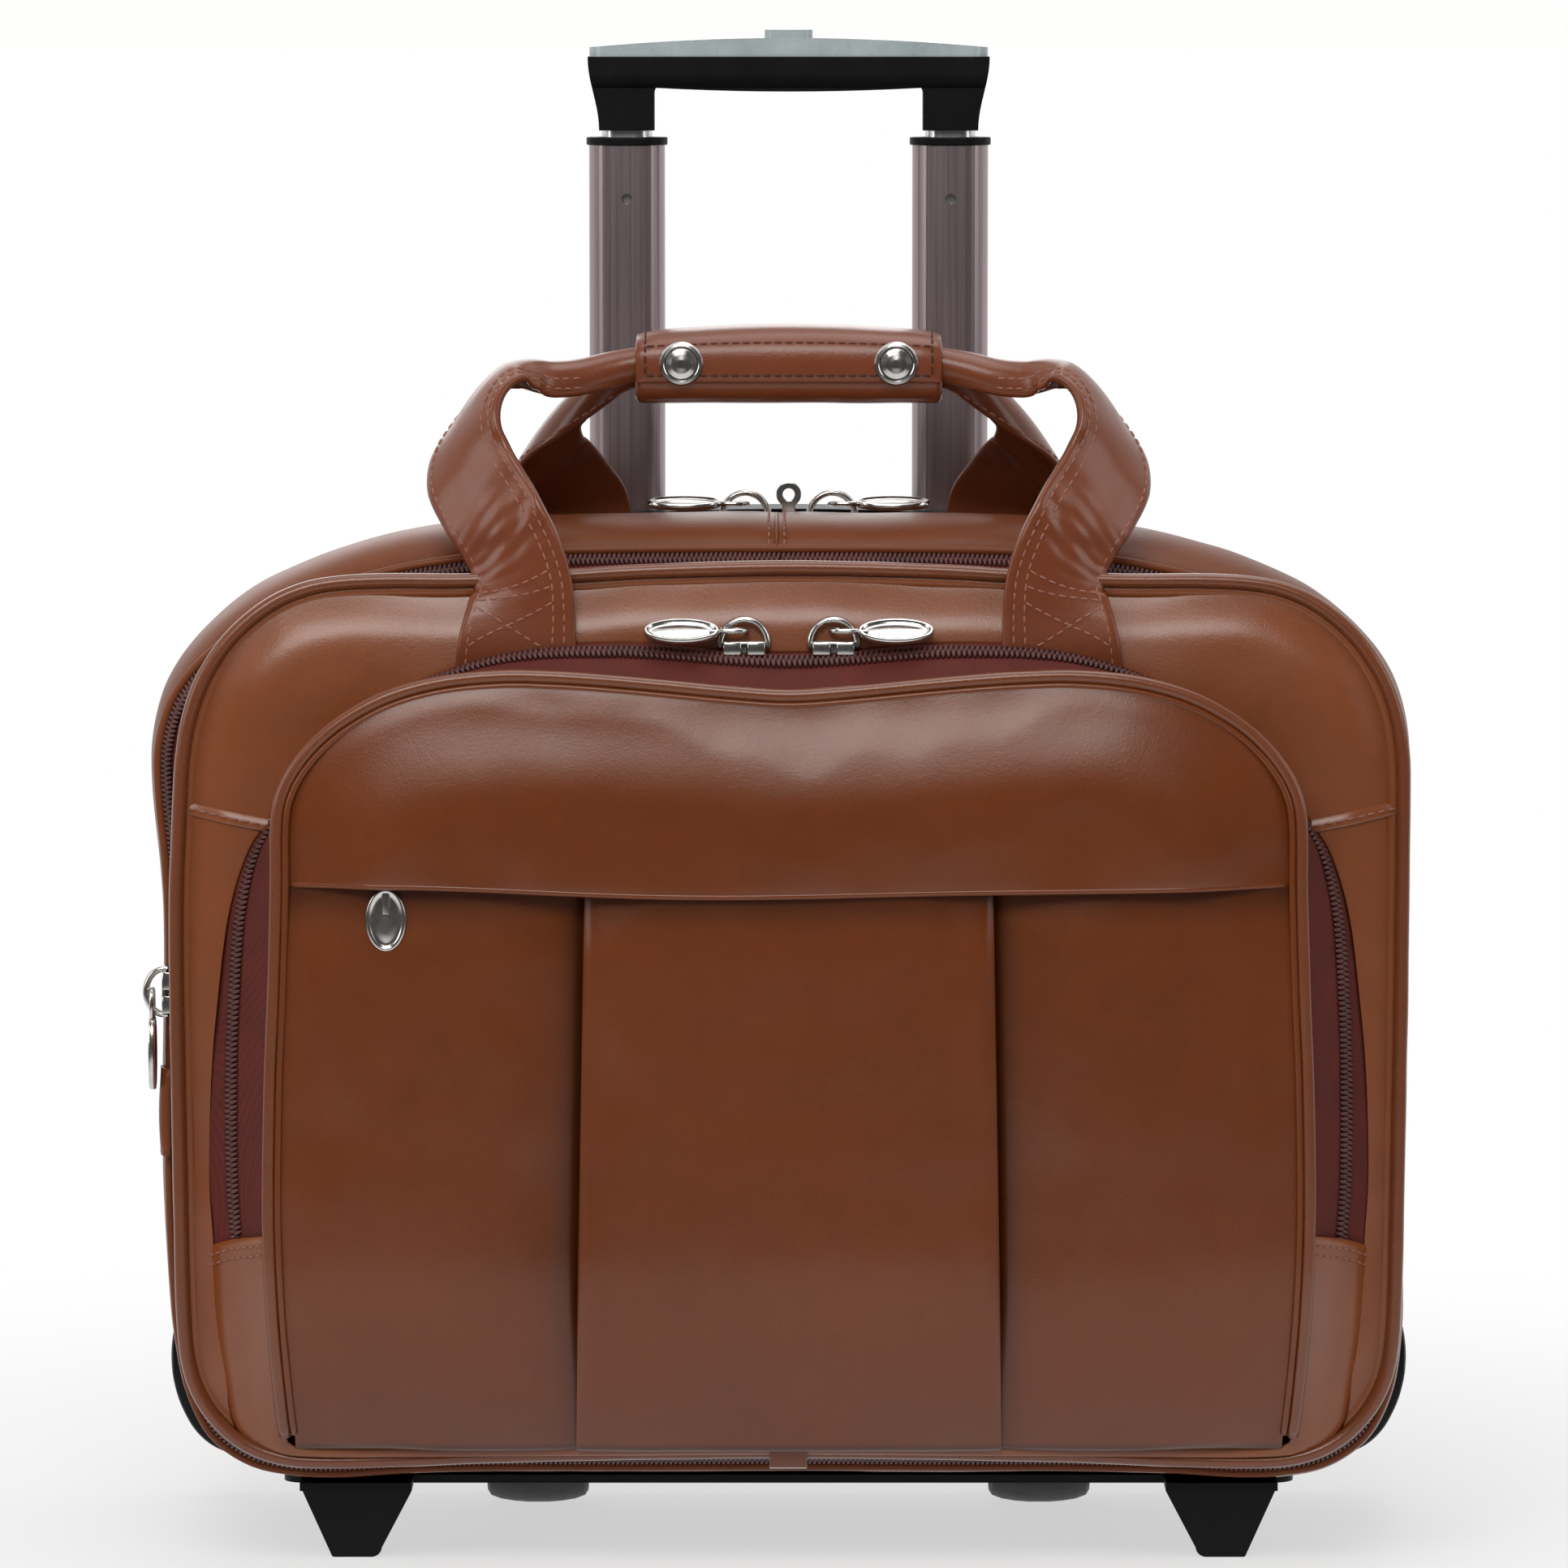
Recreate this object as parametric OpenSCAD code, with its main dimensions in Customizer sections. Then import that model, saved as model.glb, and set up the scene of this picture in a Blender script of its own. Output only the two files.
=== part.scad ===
// Rolling laptop case: leather shell in three zipped sections, a zipped front pocket,
// a carry handle closed by snaps, a two-stage trolley, two wheels and two front feet.
// Millimetres. X runs to the right, Y to the back and Z up, with the floor at Z = 0.

/* [Case] */
// Outer width of the padded mid section
case_width = 462; // [450:2:476]
// Height of the top of the case above the floor
case_top = 381; // [374:1:392]
// Height of the underside of the case above the floor
ground_gap = 28; // [27:0.5:31]
// Radius of the upper corners of the case
corner_radius = 98; // [86:1:104]
// Radius of the lower corners of the case
low_radius = 40; // [32:1:46]
// How far the arch along the top falls from its middle to its sides
arch_rise = 26.5; // [20:0.5:28]
// Depth of the rear compartment
rear_depth = 72; // [70:1:82]
// Depth of the padded mid section
mid_depth = 54; // [46:1:64]
// Depth of the band behind the front panel
front_depth = 16; // [14:1:22]
// Gap between two sections, filled by a zip
zip_gap = 8; // [8:0.5:10]
// Thickness of a wall of leather and lining
wall = 3; // [2.4:0.1:3.4]
// Thickness of the padded roll of the mid section
roll = 9; // [8:0.5:10]
// Drop from the top of the front section to the sewn joins in the sides
join_drop = 86; // [70:1:110]
// Thickness of the stiff front and back panels
panel = 4.5; // [4:0.5:6]

/* [Front section] */
// How far the front panel stands inside the mid section at each side
front_inset = 12.5; // [10.5:0.5:14]
// How far the top of the front panel lies below the top of the case
front_drop = 20; // [17:1:24]
// Height of the front panel's lower edge above the floor
front_low = 37; // [36.5:0.5:41]
// Corner radius of the front panel
front_radius = 72; // [60:1:80]

/* [Front pocket] */
// Width of the pocket's panel
pocket_width = 372; // [340:2:380]
// Height of the pocket's top edge above the floor
pocket_top = 324; // [312:1:328]
// Height of the pocket's lower edge above the floor
pocket_low = 41; // [40.5:0.5:46]
// Depth of the pocket
pocket_depth = 28; // [26:1:36]
// Height at which the zip ends and the pocket folds open
pocket_fold = 122; // [110:1:140]
// Height of the lower edge of the flap over the hidden zip
flap_low = 251; // [240:1:262]
// Distance between the two pleats
pleat_gap = 150.6; // [120:1:170]

/* [Carry handle] */
// Length of the padded wrap
wrap_length = 111; // [100:1:124]
// Height of the wrap's middle above the top of the case
wrap_rise = 54.5; // [50:0.5:62]
// Size of the wrap from its underside to its crown
wrap_tall = 29; // [27:0.5:32]
// Size of the wrap from front to back
wrap_deep = 36; // [34:0.5:40]
// Distance between the two snaps
snap_gap = 78; // [60:1:90]
// Diameter of a snap cap
snap_dia = 16; // [12:0.5:18]
// Distance between the feet of the front straps
strap_gap = 197; // [190:1:204]
// Width of a strap
strap_width = 42; // [36:1:44]
// Thickness of a strap
strap_thick = 4; // [3:0.2:4.4]

/* [Trolley] */
// Width of an outer tube
tube_width = 28.4; // [26:0.2:28.6]
// Depth of an outer tube
tube_deep = 18; // [17:0.5:18]
// Thickness of a tube's wall
tube_wall = 1.5; // [1.2:0.1:1.8]
// Width of an inner tube
inner_width = 19; // [18:0.5:20]
// Depth of an inner tube
inner_deep = 12; // [11:0.5:12]
// Height of the grip's top above the floor with the lower stage half drawn out
grip_top = 554; // [540:1:566]
// Overall width of the grip, with the tubes under its ends
grip_width = 150; // [146:1:154]
// Depth of the grip from front to back
grip_deep = 22; // [20:0.5:23]
// How far the release button stands above the grip
button_rise = 3; // [3:0.5:5]

/* [Wheels and feet] */
// Radius of a wheel over its tyre
wheel_radius = 24; // [22:0.5:25]
// Width of a wheel
wheel_width = 38; // [34:0.5:39]
// Distance between the middles of the two wheels
wheel_gap = 190; // [186:1:200]
// Radius of a wheel's axle
axle_radius = 3; // [2.5:0.1:3.5]
// Distance between the middles of the two front feet
foot_gap = 317; // [290:1:326]
// Width of a front foot at the floor
foot_width = 18; // [14:1:22]
// How far the wheels stand out behind the back panel
wheel_out = 6; // [4:0.5:9]

/* [Hidden] */
$fn = 64;

// Clearances
slide_gap = 0.4;
seat_gap = 0.3;
turn_gap = 0.08;
big = 1200;

// Depths, from the flap's lower edge at the front to the wheels at the back
flap_out = 6.5;
total_depth = flap_out + pocket_depth + panel + front_depth + 2 * zip_gap + mid_depth
    + rear_depth + panel + wheel_out;
flap_y = -total_depth / 2;
pocket_y = flap_y + flap_out;
front_y = pocket_y + pocket_depth;
band_y = front_y + panel;
band_end = band_y + front_depth;
mid_y = band_end + zip_gap;
mid_end = mid_y + mid_depth;
rear_y = mid_end + zip_gap;
rear_end = rear_y + rear_depth;
back_y = rear_end + panel;

// Mid section
mid_half = case_width / 2;
mid_low = ground_gap + 0.8;
mid_soft_front = 5;
mid_soft_rear = 3;
arch_radius = (mid_half * mid_half + arch_rise * arch_rise) / (2 * arch_rise);

// Rear compartment
rear_half = mid_half - 4;
rear_top = case_top - 5;
rear_radius = corner_radius - 4;

// Front section
front_half = mid_half - front_inset;
front_top = case_top - front_drop;
join_z = front_top - join_drop;
join_gap = 0.2;
piping = 4;
piping_out = 1.5;

// Zips
tape = 4;
main_zip_top = case_top - mid_soft_rear;
side_zip_inset = mid_soft_front + 0.5;
side_zip_half = mid_half - side_zip_inset;
side_zip_thick = front_inset - side_zip_inset - 0.6;
slot_x = 16;
frame_thick = 6.7;
frame_band = 8;
frame_half = pocket_width / 2 + 18;
frame_top = pocket_top + 14;
frame_radius = 60;
main_zip_mid = rear_y - (zip_gap - 1) / 2;
side_zip_mid = mid_y - (zip_gap - 0.6) / 2;
side_slider_z = 210;

// Sliders and pulls
slider_long = 13;
slider_wide = 6.6;
pin_radius = 1.1;
pin_rise = 5.6;
pull_long = 30;
pull_wide = 13;
pull_thick = 2.4;
pull_neck = 5;
barrel_radius = 2.4;
barrel_long = 3.4;

// Pocket
pocket_half = pocket_width / 2;
pocket_radius = 52;
pocket_wall = 3;
pocket_skin = 4.5;
pocket_end = front_y - frame_thick - 0.5;
flare_half = frame_half - frame_band - 0.4;
flare_top = frame_top - frame_band - 0.4;
fold_gap = 0.3;
shell_low = front_low + piping + 0.6;
flap_thick = 2.6;
flap_top = pocket_top - 7;
flap_zip_z = flap_low + 8;
flap_zip_half = 150;
flap_pull_x = -143.6;
flap_pull_long = 28;

// Trolley
tube_inset = 0.3;
tube_gap = grip_width - tube_width - 2 * tube_inset;
tube_x = tube_gap / 2;
sleeve_width = tube_width + 2 * tube_wall + 3;
sleeve_deep = tube_deep + 2 * tube_wall + 3;
tube_y = rear_end - 0.5 - sleeve_deep / 2;
lining_thick = 3;
lining_y = tube_y - sleeve_deep / 2 - 0.5 - lining_thick;
bracket_top = 62;
sleeve_low = bracket_top - 6;
sleeve_top = rear_top - wall - 6;
cap_tall = 7;
button_width = 18;
button_deep = 8;
button_gap = 0.6;
grip_floor = grip_top - 34.5;
bar_low = grip_top - 20;
collar_top = grip_floor - 2.5;
collar_tall = 6;
plug_tall = 10;
drop = 130;
outer_low = sleeve_low + drop + plug_tall + 2;
outer_long = collar_top - 3 - outer_low;
inner_low = outer_low + 12;
inner_high = grip_floor + 9;
rod_radius = 2.2;
socket_wall = 0.8;
socket_in = tube_x - inner_width / 2 - socket_wall;
socket_out = tube_x + inner_width / 2 + socket_wall;
grip_edge = 6;
grip_fillet = 3;
rod_slot = 9;

// Wheels, housings and base
wheel_x = wheel_gap / 2;
wheel_y = back_y + wheel_out - wheel_radius;
cheek = 1.6;
cheek_gap = 1.4;
well_half = wheel_width / 2 + cheek_gap;
housing_half = well_half + cheek;
housing_front = wheel_y - wheel_radius - 4;
housing_top = 2 * wheel_radius + 5;
flange = 8;
flange_low = ground_gap + wall;
flange_thick = 2;
tray_thick = 3;
tray_half = 186;
tray_front = mid_y + 20;
tongue = 0.5;
screw_radius = 1.9;
screw_gap = 0.1;
well_gap = 0.3;
foot_x = foot_gap / 2;
foot_y = mid_y + 14;
foot_top_width = 40;
foot_deep = 22;
guard_out = 6;
guard_top = 67;

// Carry handle
wrap_height = case_top + wrap_rise;
wrap_half = wrap_length / 2;
wrap_y = mid_end - 21;
core_radius = 7;
core_shift = 8;
core_half = wrap_half + 0.6;
front_core_z = wrap_height - 0.5;
rear_core_z = wrap_height - 2.5;

// Colours
leather = [0.55, 0.28, 0.12];
leather_dark = [0.42, 0.2, 0.09];
tape_red = [0.26, 0.09, 0.09];
black = [0.09, 0.09, 0.09];
grey = [0.3, 0.3, 0.31];
mauve = [0.62, 0.57, 0.58];
nickel = [0.78, 0.77, 0.75];
lining = [0.35, 0.2, 0.13];

// Prism along Y over a drawing in X and Z
module slab(y0, y1) {
    translate([0, y1, 0]) rotate([90, 0, 0]) linear_extrude(y1 - y0) children();
}

// Prism along X over a drawing in Y and Z
module bar(x0, x1) {
    translate([x0, 0, 0]) rotate([90, 0, 90]) linear_extrude(x1 - x0) children();
}

// Outline with round upper and lower corners
module rounded(half, low, top, r_top, r_low) {
    translate([-half, low + r_low]) square([2 * half, top - low - r_top - r_low]);
    translate([r_top - half, low + r_low]) square([2 * (half - r_top), top - low - r_low]);
    translate([r_low - half, low]) square([2 * (half - r_low), top - low - r_top]);
    for (side = [-1, 1]) {
        translate([side * (half - r_top), top - r_top]) circle(r = r_top);
        translate([side * (half - r_low), low + r_low]) circle(r = r_low);
    }
}

// The same with the slight arch along its top
module arched(half, low, top, r_top, r_low) {
    intersection() {
        rounded(half, low, top, r_top, r_low);
        translate([0, top - arch_radius]) circle(r = arch_radius, $fn = 200);
    }
}

module mid_outline(inset) {
    arched(mid_half - inset, mid_low + inset, case_top - inset,
        corner_radius - inset, low_radius - inset);
}

module rear_outline(inset) {
    arched(rear_half - inset, ground_gap + inset, rear_top - inset,
        rear_radius - inset, low_radius - inset);
}

module front_outline(inset) {
    rounded(front_half - inset, front_low + inset, front_top - inset,
        front_radius - inset, low_radius - inset);
}

module pocket_outline(inset) {
    rounded(pocket_half - inset, pocket_low + inset, pocket_top - inset, pocket_radius - inset, 16 - inset);
}

module frame_outline(inset) {
    rounded(frame_half - inset, pocket_low - 2 + inset, frame_top - inset, frame_radius - inset, 22 - inset);
}

module above(z) {
    translate([-big, -big, z]) cube([2 * big, 2 * big, big]);
}

module below(z) {
    translate([-big, -big, z - big]) cube([2 * big, 2 * big, big]);
}

// Tube section with round ends, standing along Z
module oval(width, deep) {
    translate([(deep - width) / 2, -deep / 2]) square([width - deep, deep]);
    for (side = [-1, 1]) translate([side * (width - deep) / 2, 0]) circle(d = deep);
}

module both_tubes() {
    for (side = [-1, 1]) translate([side * tube_x, tube_y, 0]) children();
}

// Band of rectangular section through a list of [point, half width, width direction]
function spline(a, b, c, d, t) =
    0.5 * (2 * b + (c - a) * t + (2 * a - 5 * b + 4 * c - d) * t * t
    + (3 * b - a - 3 * c + d) * t * t * t);
function pick(list, i) = list[max(0, min(len(list) - 1, i))];
function along(list, s) =
    let (i = min(floor(s), len(list) - 2), t = s - i)
    spline(pick(list, i - 1), pick(list, i), pick(list, i + 1), pick(list, i + 2), t);

module strap(points, widths, ways, thick) {
    steps = 3;
    last = (len(points) - 1) * steps;
    ring = [for (k = [0:last])
        let (s = k / steps,
             p = along(points, s),
             tangent = along(points, min(s + 0.05, len(points) - 1)) - along(points, max(s - 0.05, 0)),
             w = along(widths, s),
             way = along(ways, s),
             flat = way - tangent * (way * tangent) / (tangent * tangent),
             u = flat / norm(flat),
             n = cross(u, tangent) / norm(cross(u, tangent)))
        each [p - u * w - n * thick / 2, p + u * w - n * thick / 2,
              p + u * w + n * thick / 2, p - u * w + n * thick / 2]];
    sides = [for (k = [0:last - 1]) for (j = [0:3])
        let (a = 4 * k + j, b = 4 * k + (j + 1) % 4)
        each [[a, b, b + 4], [a, b + 4, a + 4]]];
    ends = [[2, 1, 0], [3, 2, 0],
        [4 * last, 4 * last + 1, 4 * last + 2], [4 * last, 4 * last + 2, 4 * last + 3]];
    polyhedron(points = ring, faces = concat(sides, ends));
}

// Rear compartment

module back_panel() {
    color(leather) difference() {
        slab(rear_end, back_y) rear_outline(0.5);
        for (side = [-1, 1]) translate([side * wheel_x - housing_half - 0.5, rear_end - 1, 0])
            cube([2 * housing_half + 1, panel + 2, housing_top + 0.5]);
    }
}

module rear_gusset() {
    color(leather) difference() {
        slab(rear_y, rear_end) difference() {
            rear_outline(0);
            rear_outline(wall);
        }
        // Opening for the bezel of the trolley
        translate([-tube_x - sleeve_width / 2 - 2.5, tube_y - sleeve_deep / 2, rear_top - 40])
            cube([tube_gap + sleeve_width + 5, sleeve_deep + 2, 60]);
        // Wheel wells
        for (side = [-1, 1])
            translate([side * wheel_x - housing_half - well_gap, housing_front - well_gap, 0])
            cube([2 * (housing_half + well_gap), total_depth, ground_gap + 2 * wall]);
        screw_holes(screw_radius + screw_gap);
    }
}

module lining_board() {
    color(lining) difference() {
        slab(lining_y, lining_y + lining_thick) rear_outline(wall);
        for (side = [-1, 1]) translate([side * wheel_x - housing_half - flange - 0.5, lining_y - 1, 0])
            cube([2 * (housing_half + flange) + 1, lining_thick + 2, housing_top + 0.5]);
    }
}

module laptop_divider() {
    divider_thick = 6;
    divider_side = 24;
    divider_top = rear_top - 84;
    color(lining) slab(rear_y + 1, rear_y + 1 + divider_thick)
        rounded(rear_half - divider_side, ground_gap + wall, divider_top, divider_side, low_radius);
}

module base_tray() {
    color(black) difference() {
        translate([0, 0, ground_gap - tray_thick]) linear_extrude(tray_thick) {
            translate([-tray_half, tray_front + 8]) square([2 * tray_half, rear_end - tray_front - 8]);
            translate([8 - tray_half, tray_front]) square([2 * tray_half - 16, 20]);
            for (side = [-1, 1]) {
                translate([side * (tray_half - 8), tray_front + 8]) circle(r = 8);
                // Tongue that carries a front foot
                translate([side * foot_x - foot_top_width / 2 - tongue, foot_y - foot_deep / 2])
                    square([foot_top_width + 2 * tongue, foot_deep + 6]);
            }
        }
        for (side = [-1, 1])
            translate([side * wheel_x - housing_half - well_gap, housing_front - well_gap, 0])
            cube([2 * (housing_half + well_gap), total_depth, housing_top]);
        // Notches for the ends of the axles
        for (side = [-1, 1]) translate([side * wheel_x - housing_half - 2.4, wheel_y - axle_radius - 1.4, 0])
            cube([2 * housing_half + 4.8, 2 * axle_radius + 2.8, 40]);
        screw_holes(screw_radius + screw_gap);
    }
}

module corner_guard() {
    color(black) intersection() {
        slab(rear_y + 1, back_y) difference() {
            rounded(rear_half + guard_out, ground_gap - 5, rear_top, rear_radius, low_radius + 8);
            rear_outline(0);
        }
        translate([tray_half + well_gap, 0, 0]) cube([case_width, back_y, guard_top]);
    }
}

module corner_guard_left() {
    mirror([1, 0, 0]) corner_guard();
}

module corner_guard_right() {
    corner_guard();
}

module front_foot() {
    tall = ground_gap - tray_thick;
    lean = 0.5;
    round = 4;
    color(black) intersection() {
        slab(foot_y - foot_deep / 2, foot_y + foot_deep / 2) union() {
            polygon([[foot_x - foot_width / 2 + round, 0], [foot_x + foot_width / 2 - 0.5, 0],
                [foot_x + foot_width / 2, 0.5],
                [foot_x + foot_top_width / 2 - lean, tall], [foot_x - foot_top_width / 2 - lean, tall],
                [foot_x - foot_width / 2 - 0.6, round]]);
            translate([foot_x - foot_width / 2 + round - 0.4, round]) circle(r = round);
        }
        bar(foot_x - 40, foot_x + 40) polygon([
            [foot_y - foot_deep / 2, tall], [foot_y - foot_deep / 2 + 3, 0],
            [foot_y + foot_deep / 2 - 3, 0], [foot_y + foot_deep / 2, tall]]);
    }
}

module front_foot_left() {
    mirror([1, 0, 0]) front_foot();
}

module front_foot_right() {
    front_foot();
}

module screw_places() {
    for (side = [-1, 1]) for (edge = [-1, 1]) for (along_y = [6, 26])
        translate([side * wheel_x + edge * (housing_half + flange / 2), housing_front + along_y, 0])
            children();
}

module screw_holes(r) {
    screw_places() translate([0, 0, ground_gap - tray_thick + 0.8]) cylinder(r = r, h = 12);
}

module wheel_housing() {
    flange_front = housing_front - flange;
    color(black) difference() {
        union() {
            // Cheeks with a round boss about the axle
            for (edge = [-1, 1]) translate([wheel_x + edge * (well_half + cheek / 2), 0, 0]) {
                translate([-cheek / 2, housing_front, ground_gap - 6])
                    cube([cheek, back_y - housing_front, housing_top - ground_gap + 6]);
                translate([0, wheel_y, wheel_radius]) rotate([0, 90, 0])
                    cylinder(r = axle_radius + 5, h = cheek, center = true);
            }
            // Front wall and roof of the well
            translate([wheel_x - housing_half, housing_front, ground_gap - 6])
                cube([2 * housing_half, cheek, housing_top - ground_gap + 6]);
            translate([wheel_x - housing_half, housing_front, housing_top - cheek])
                cube([2 * housing_half, back_y - housing_front, cheek]);
            // Flange screwed down inside the case
            translate([wheel_x - housing_half - flange, flange_front + 4, flange_low])
                cube([2 * (housing_half + flange), rear_end - 1 - flange_front - 4, flange_thick]);
        }
        translate([wheel_x - well_half, housing_front + cheek, 0])
            cube([2 * well_half, 100, housing_top - cheek]);
        translate([wheel_x, wheel_y, wheel_radius]) rotate([0, 90, 0])
            cylinder(r = axle_radius + 0.03, h = 100, center = true);
        screw_holes(screw_radius + screw_gap);
    }
}

module wheel_housing_left() {
    mirror([1, 0, 0]) wheel_housing();
}

module wheel_housing_right() {
    wheel_housing();
}

module housing_screws() {
    color(nickel) screw_places() difference() {
        union() {
            translate([0, 0, ground_gap - tray_thick + 1])
                cylinder(r = screw_radius, h = flange_low - ground_gap + tray_thick + 1.4);
            translate([0, 0, flange_low + flange_thick + 0.05]) cylinder(r = 3.4, h = 1.9);
        }
        // Cross recess
        translate([-1.6, -0.4, flange_low + flange_thick + 1]) cube([3.2, 0.8, 2]);
        translate([-0.4, -1.6, flange_low + flange_thick + 1]) cube([0.8, 3.2, 2]);
    }
}

module axle() {
    color(nickel) translate([wheel_x, wheel_y, wheel_radius]) rotate([0, 90, 0]) {
        cylinder(r = axle_radius, h = 2 * housing_half + 3, center = true);
        for (end = [-1, 1]) translate([0, 0, end * (housing_half + 1)])
            cylinder(r = axle_radius + 0.9, h = 1.4, center = true);
    }
}

module axle_left() {
    mirror([1, 0, 0]) axle();
}

module axle_right() {
    axle();
}

module trolley_sleeves() {
    color(grey) both_tubes() translate([0, 0, sleeve_low]) linear_extrude(sleeve_top - sleeve_low)
        difference() {
            oval(sleeve_width, sleeve_deep);
            oval(sleeve_width - 2 * tube_wall, sleeve_deep - 2 * tube_wall);
        }
}

module sleeve_bezel() {
    lip = 4;
    plug_half = tube_x + sleeve_width / 2 + 2;
    color(black) difference() {
        union() {
            // Rim over the top of the case
            intersection() {
                slab(tube_y - sleeve_deep / 2 - lip, rear_end + 0.2) difference() {
                    translate([0, 2.6]) rear_outline(0);
                    rear_outline(0);
                }
                translate([-plug_half - lip, -big, rear_top - 30])
                    cube([2 * (plug_half + lip), 2 * big, 60]);
            }
            // Plug through the opening
            intersection() {
                slab(tube_y - sleeve_deep / 2 + 0.3, rear_end) translate([0, 2]) rear_outline(0);
                translate([-plug_half, -big, sleeve_top - 12]) cube([2 * plug_half, 2 * big, 80]);
            }
        }
        both_tubes() translate([0, 0, sleeve_top - 40]) linear_extrude(100)
            oval(tube_width + 2 * slide_gap, tube_deep + 2 * slide_gap);
        both_tubes() translate([0, 0, sleeve_top - 40]) linear_extrude(40 + 0.05)
            oval(sleeve_width + 0.1, sleeve_deep + 0.1);
    }
}

module sleeve_bracket() {
    bracket_half = wheel_x - housing_half - flange - 0.6;
    shelf_half = tube_x + sleeve_width / 2 + 2;
    color(black) difference() {
        union() {
            translate([-bracket_half, tube_y - sleeve_deep / 2 - 0.3, ground_gap + wall])
                cube([2 * bracket_half, sleeve_deep + 0.6, housing_top - ground_gap]);
            translate([-shelf_half, tube_y - sleeve_deep / 2 - 0.3, housing_top + 0.2])
                cube([2 * shelf_half, sleeve_deep + 0.6, bracket_top - housing_top - 0.2]);
        }
        both_tubes() translate([0, 0, sleeve_low - 0.02]) linear_extrude(50)
            oval(sleeve_width + 0.1, sleeve_deep + 0.1);
    }
}

module main_zip() {
    color(tape_red) difference() {
        slab(mid_end + 1, rear_y) difference() {
            mid_outline(mid_soft_rear);
            mid_outline(mid_soft_rear + tape);
        }
        for (side = [-1, 1]) translate([side * slot_x, main_zip_mid, main_zip_top - 6])
            slider_slot(40);
    }
}

// Slider: plates above and below the chain, joined by a post; local X runs along the chain
module slider(thick) {
    color(nickel) {
        translate([-slider_long / 2, -slider_wide / 2, seat_gap]) cube([slider_long, slider_wide, 1.6]);
        translate([-2, -1.1, -thick - 0.8]) cube([4, 2.2, thick + 1.4]);
        translate([1 - slider_long / 2, -slider_wide / 2, -thick - 1.6])
            cube([slider_long - 2, slider_wide, 1.2]);
        // Lugs that carry the pull's pin
        for (edge = [-1, 1]) translate([0, edge * (slider_wide / 2 - 0.6), 0]) {
            translate([-2.2, -0.6, 1.2]) cube([4.4, 1.2, pin_rise - 1.2]);
            translate([0, 0, pin_rise]) rotate([90, 0, 0]) cylinder(r = 2.2, h = 1.2, center = true);
        }
        translate([0, 0, pin_rise]) rotate([90, 0, 0])
            cylinder(r = pin_radius, h = slider_wide, center = true);
    }
}

module slider_slot(thick) {
    translate([-2.4, -1.5, -thick]) cube([4.8, 3, 2 * thick]);
}

// Oval pull with a rim, hung by a barrel on its pin and lying along local minus X
module pull_outline(inset) {
    translate([-pull_neck - pull_long / 2, 0]) oval(pull_long - 2 * inset, pull_wide - 2 * inset);
}

module zip_pull(shift) {
    color(nickel) difference() {
        union() {
            rotate([90, 0, 0]) cylinder(r = barrel_radius, h = barrel_long, center = true);
            translate([-pull_neck - 5, -barrel_long / 2, -0.9]) cube([pull_neck + 5, barrel_long, 1.8]);
            translate([0, shift, -pull_thick / 2]) linear_extrude(pull_thick) pull_outline(0);
        }
        rotate([90, 0, 0]) cylinder(r = pin_radius + turn_gap, h = 20, center = true);
        // Sunk face inside the rim
        translate([0, shift, pull_thick / 2 - 0.5]) linear_extrude(2) pull_outline(1.4);
        translate([0, shift, -pull_thick / 2 - 2 + 0.5]) linear_extrude(2) pull_outline(1.4);
    }
    // Raised bead in the middle of each face
    color(nickel) translate([-pull_neck - pull_long / 2, shift, 0])
        linear_extrude(pull_thick - 0.2, center = true) oval(pull_long - 14, pull_wide - 8);
}

module main_slider_left() {
    translate([-slot_x, main_zip_mid, main_zip_top]) slider(tape);
}

module main_slider_right() {
    translate([slot_x, main_zip_mid, main_zip_top]) slider(tape);
}

module main_pull_left() {
    translate([-slot_x, main_zip_mid, main_zip_top + pin_rise]) zip_pull(0);
}

module main_pull_right() {
    translate([slot_x, main_zip_mid, main_zip_top + pin_rise]) mirror([1, 0, 0]) zip_pull(0);
}

module lock_ring() {
    ring_radius = 4.6;
    ring_rise = 9;
    color(nickel) translate([0, main_zip_mid, main_zip_top]) difference() {
        union() {
            translate([0, 0, ring_rise]) rotate([90, 0, 0]) cylinder(r = ring_radius, h = 4, center = true);
            translate([-2.4, -2, 0.4]) cube([4.8, 4, ring_rise]);
            translate([-4.5, -3, 0]) cube([9, 6, 1.4]);
        }
        translate([0, 0, ring_rise]) rotate([90, 0, 0]) cylinder(r = 2.2, h = 20, center = true);
    }
}

module rear_strap_right() {
    foot = rear_top - strap_thick;
    rise = wrap_height - rear_top;
    span = wrap_y + core_shift;
    x0 = strap_gap / 2 - 18.5;
    half = strap_width / 2;
    color(leather_dark) strap(
        [[x0, span + 50, foot + 3.2], [x0 + 2, span + 46, foot + 0.2 * rise],
         [x0 + 8, span + 40, foot + 0.32 * rise],
         [x0 + 11, span + 31, foot + 0.45 * rise], [x0 + 5, span + 20, foot + 0.62 * rise],
         [core_half + 14, span + 9, foot + 0.82 * rise], [core_half + 5, span + 1, rear_core_z - 1],
         [core_half + 1, span + 1, rear_core_z - 1]],
        [half, half, half - 1, half - 3, half - 7, half - 12, half - 15, half - 15],
        [[1, 0, 0], [1, 0.1, 0], [0.9, 0.5, 0], [0.6, 0.9, 0.2], [0.2, 1, 0.4], [0, 0.7, 0.7],
         [0, 0.5, 0.9], [0, 0.5, 0.9]],
        strap_thick);
}

module rear_strap_left() {
    mirror([1, 0, 0]) rear_strap_right();
}

// Mid section

// Hoop sewn from four lengths, joined over the middle and low on each side
module sewn() {
    reach = case_width;
    away = (reach + join_gap) / 2;
    for (side = [-1, 1]) for (level = [-1, 1]) intersection() {
        children();
        translate([side * away, 0, join_z + level * away]) cube(reach, center = true);
    }
}

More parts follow.
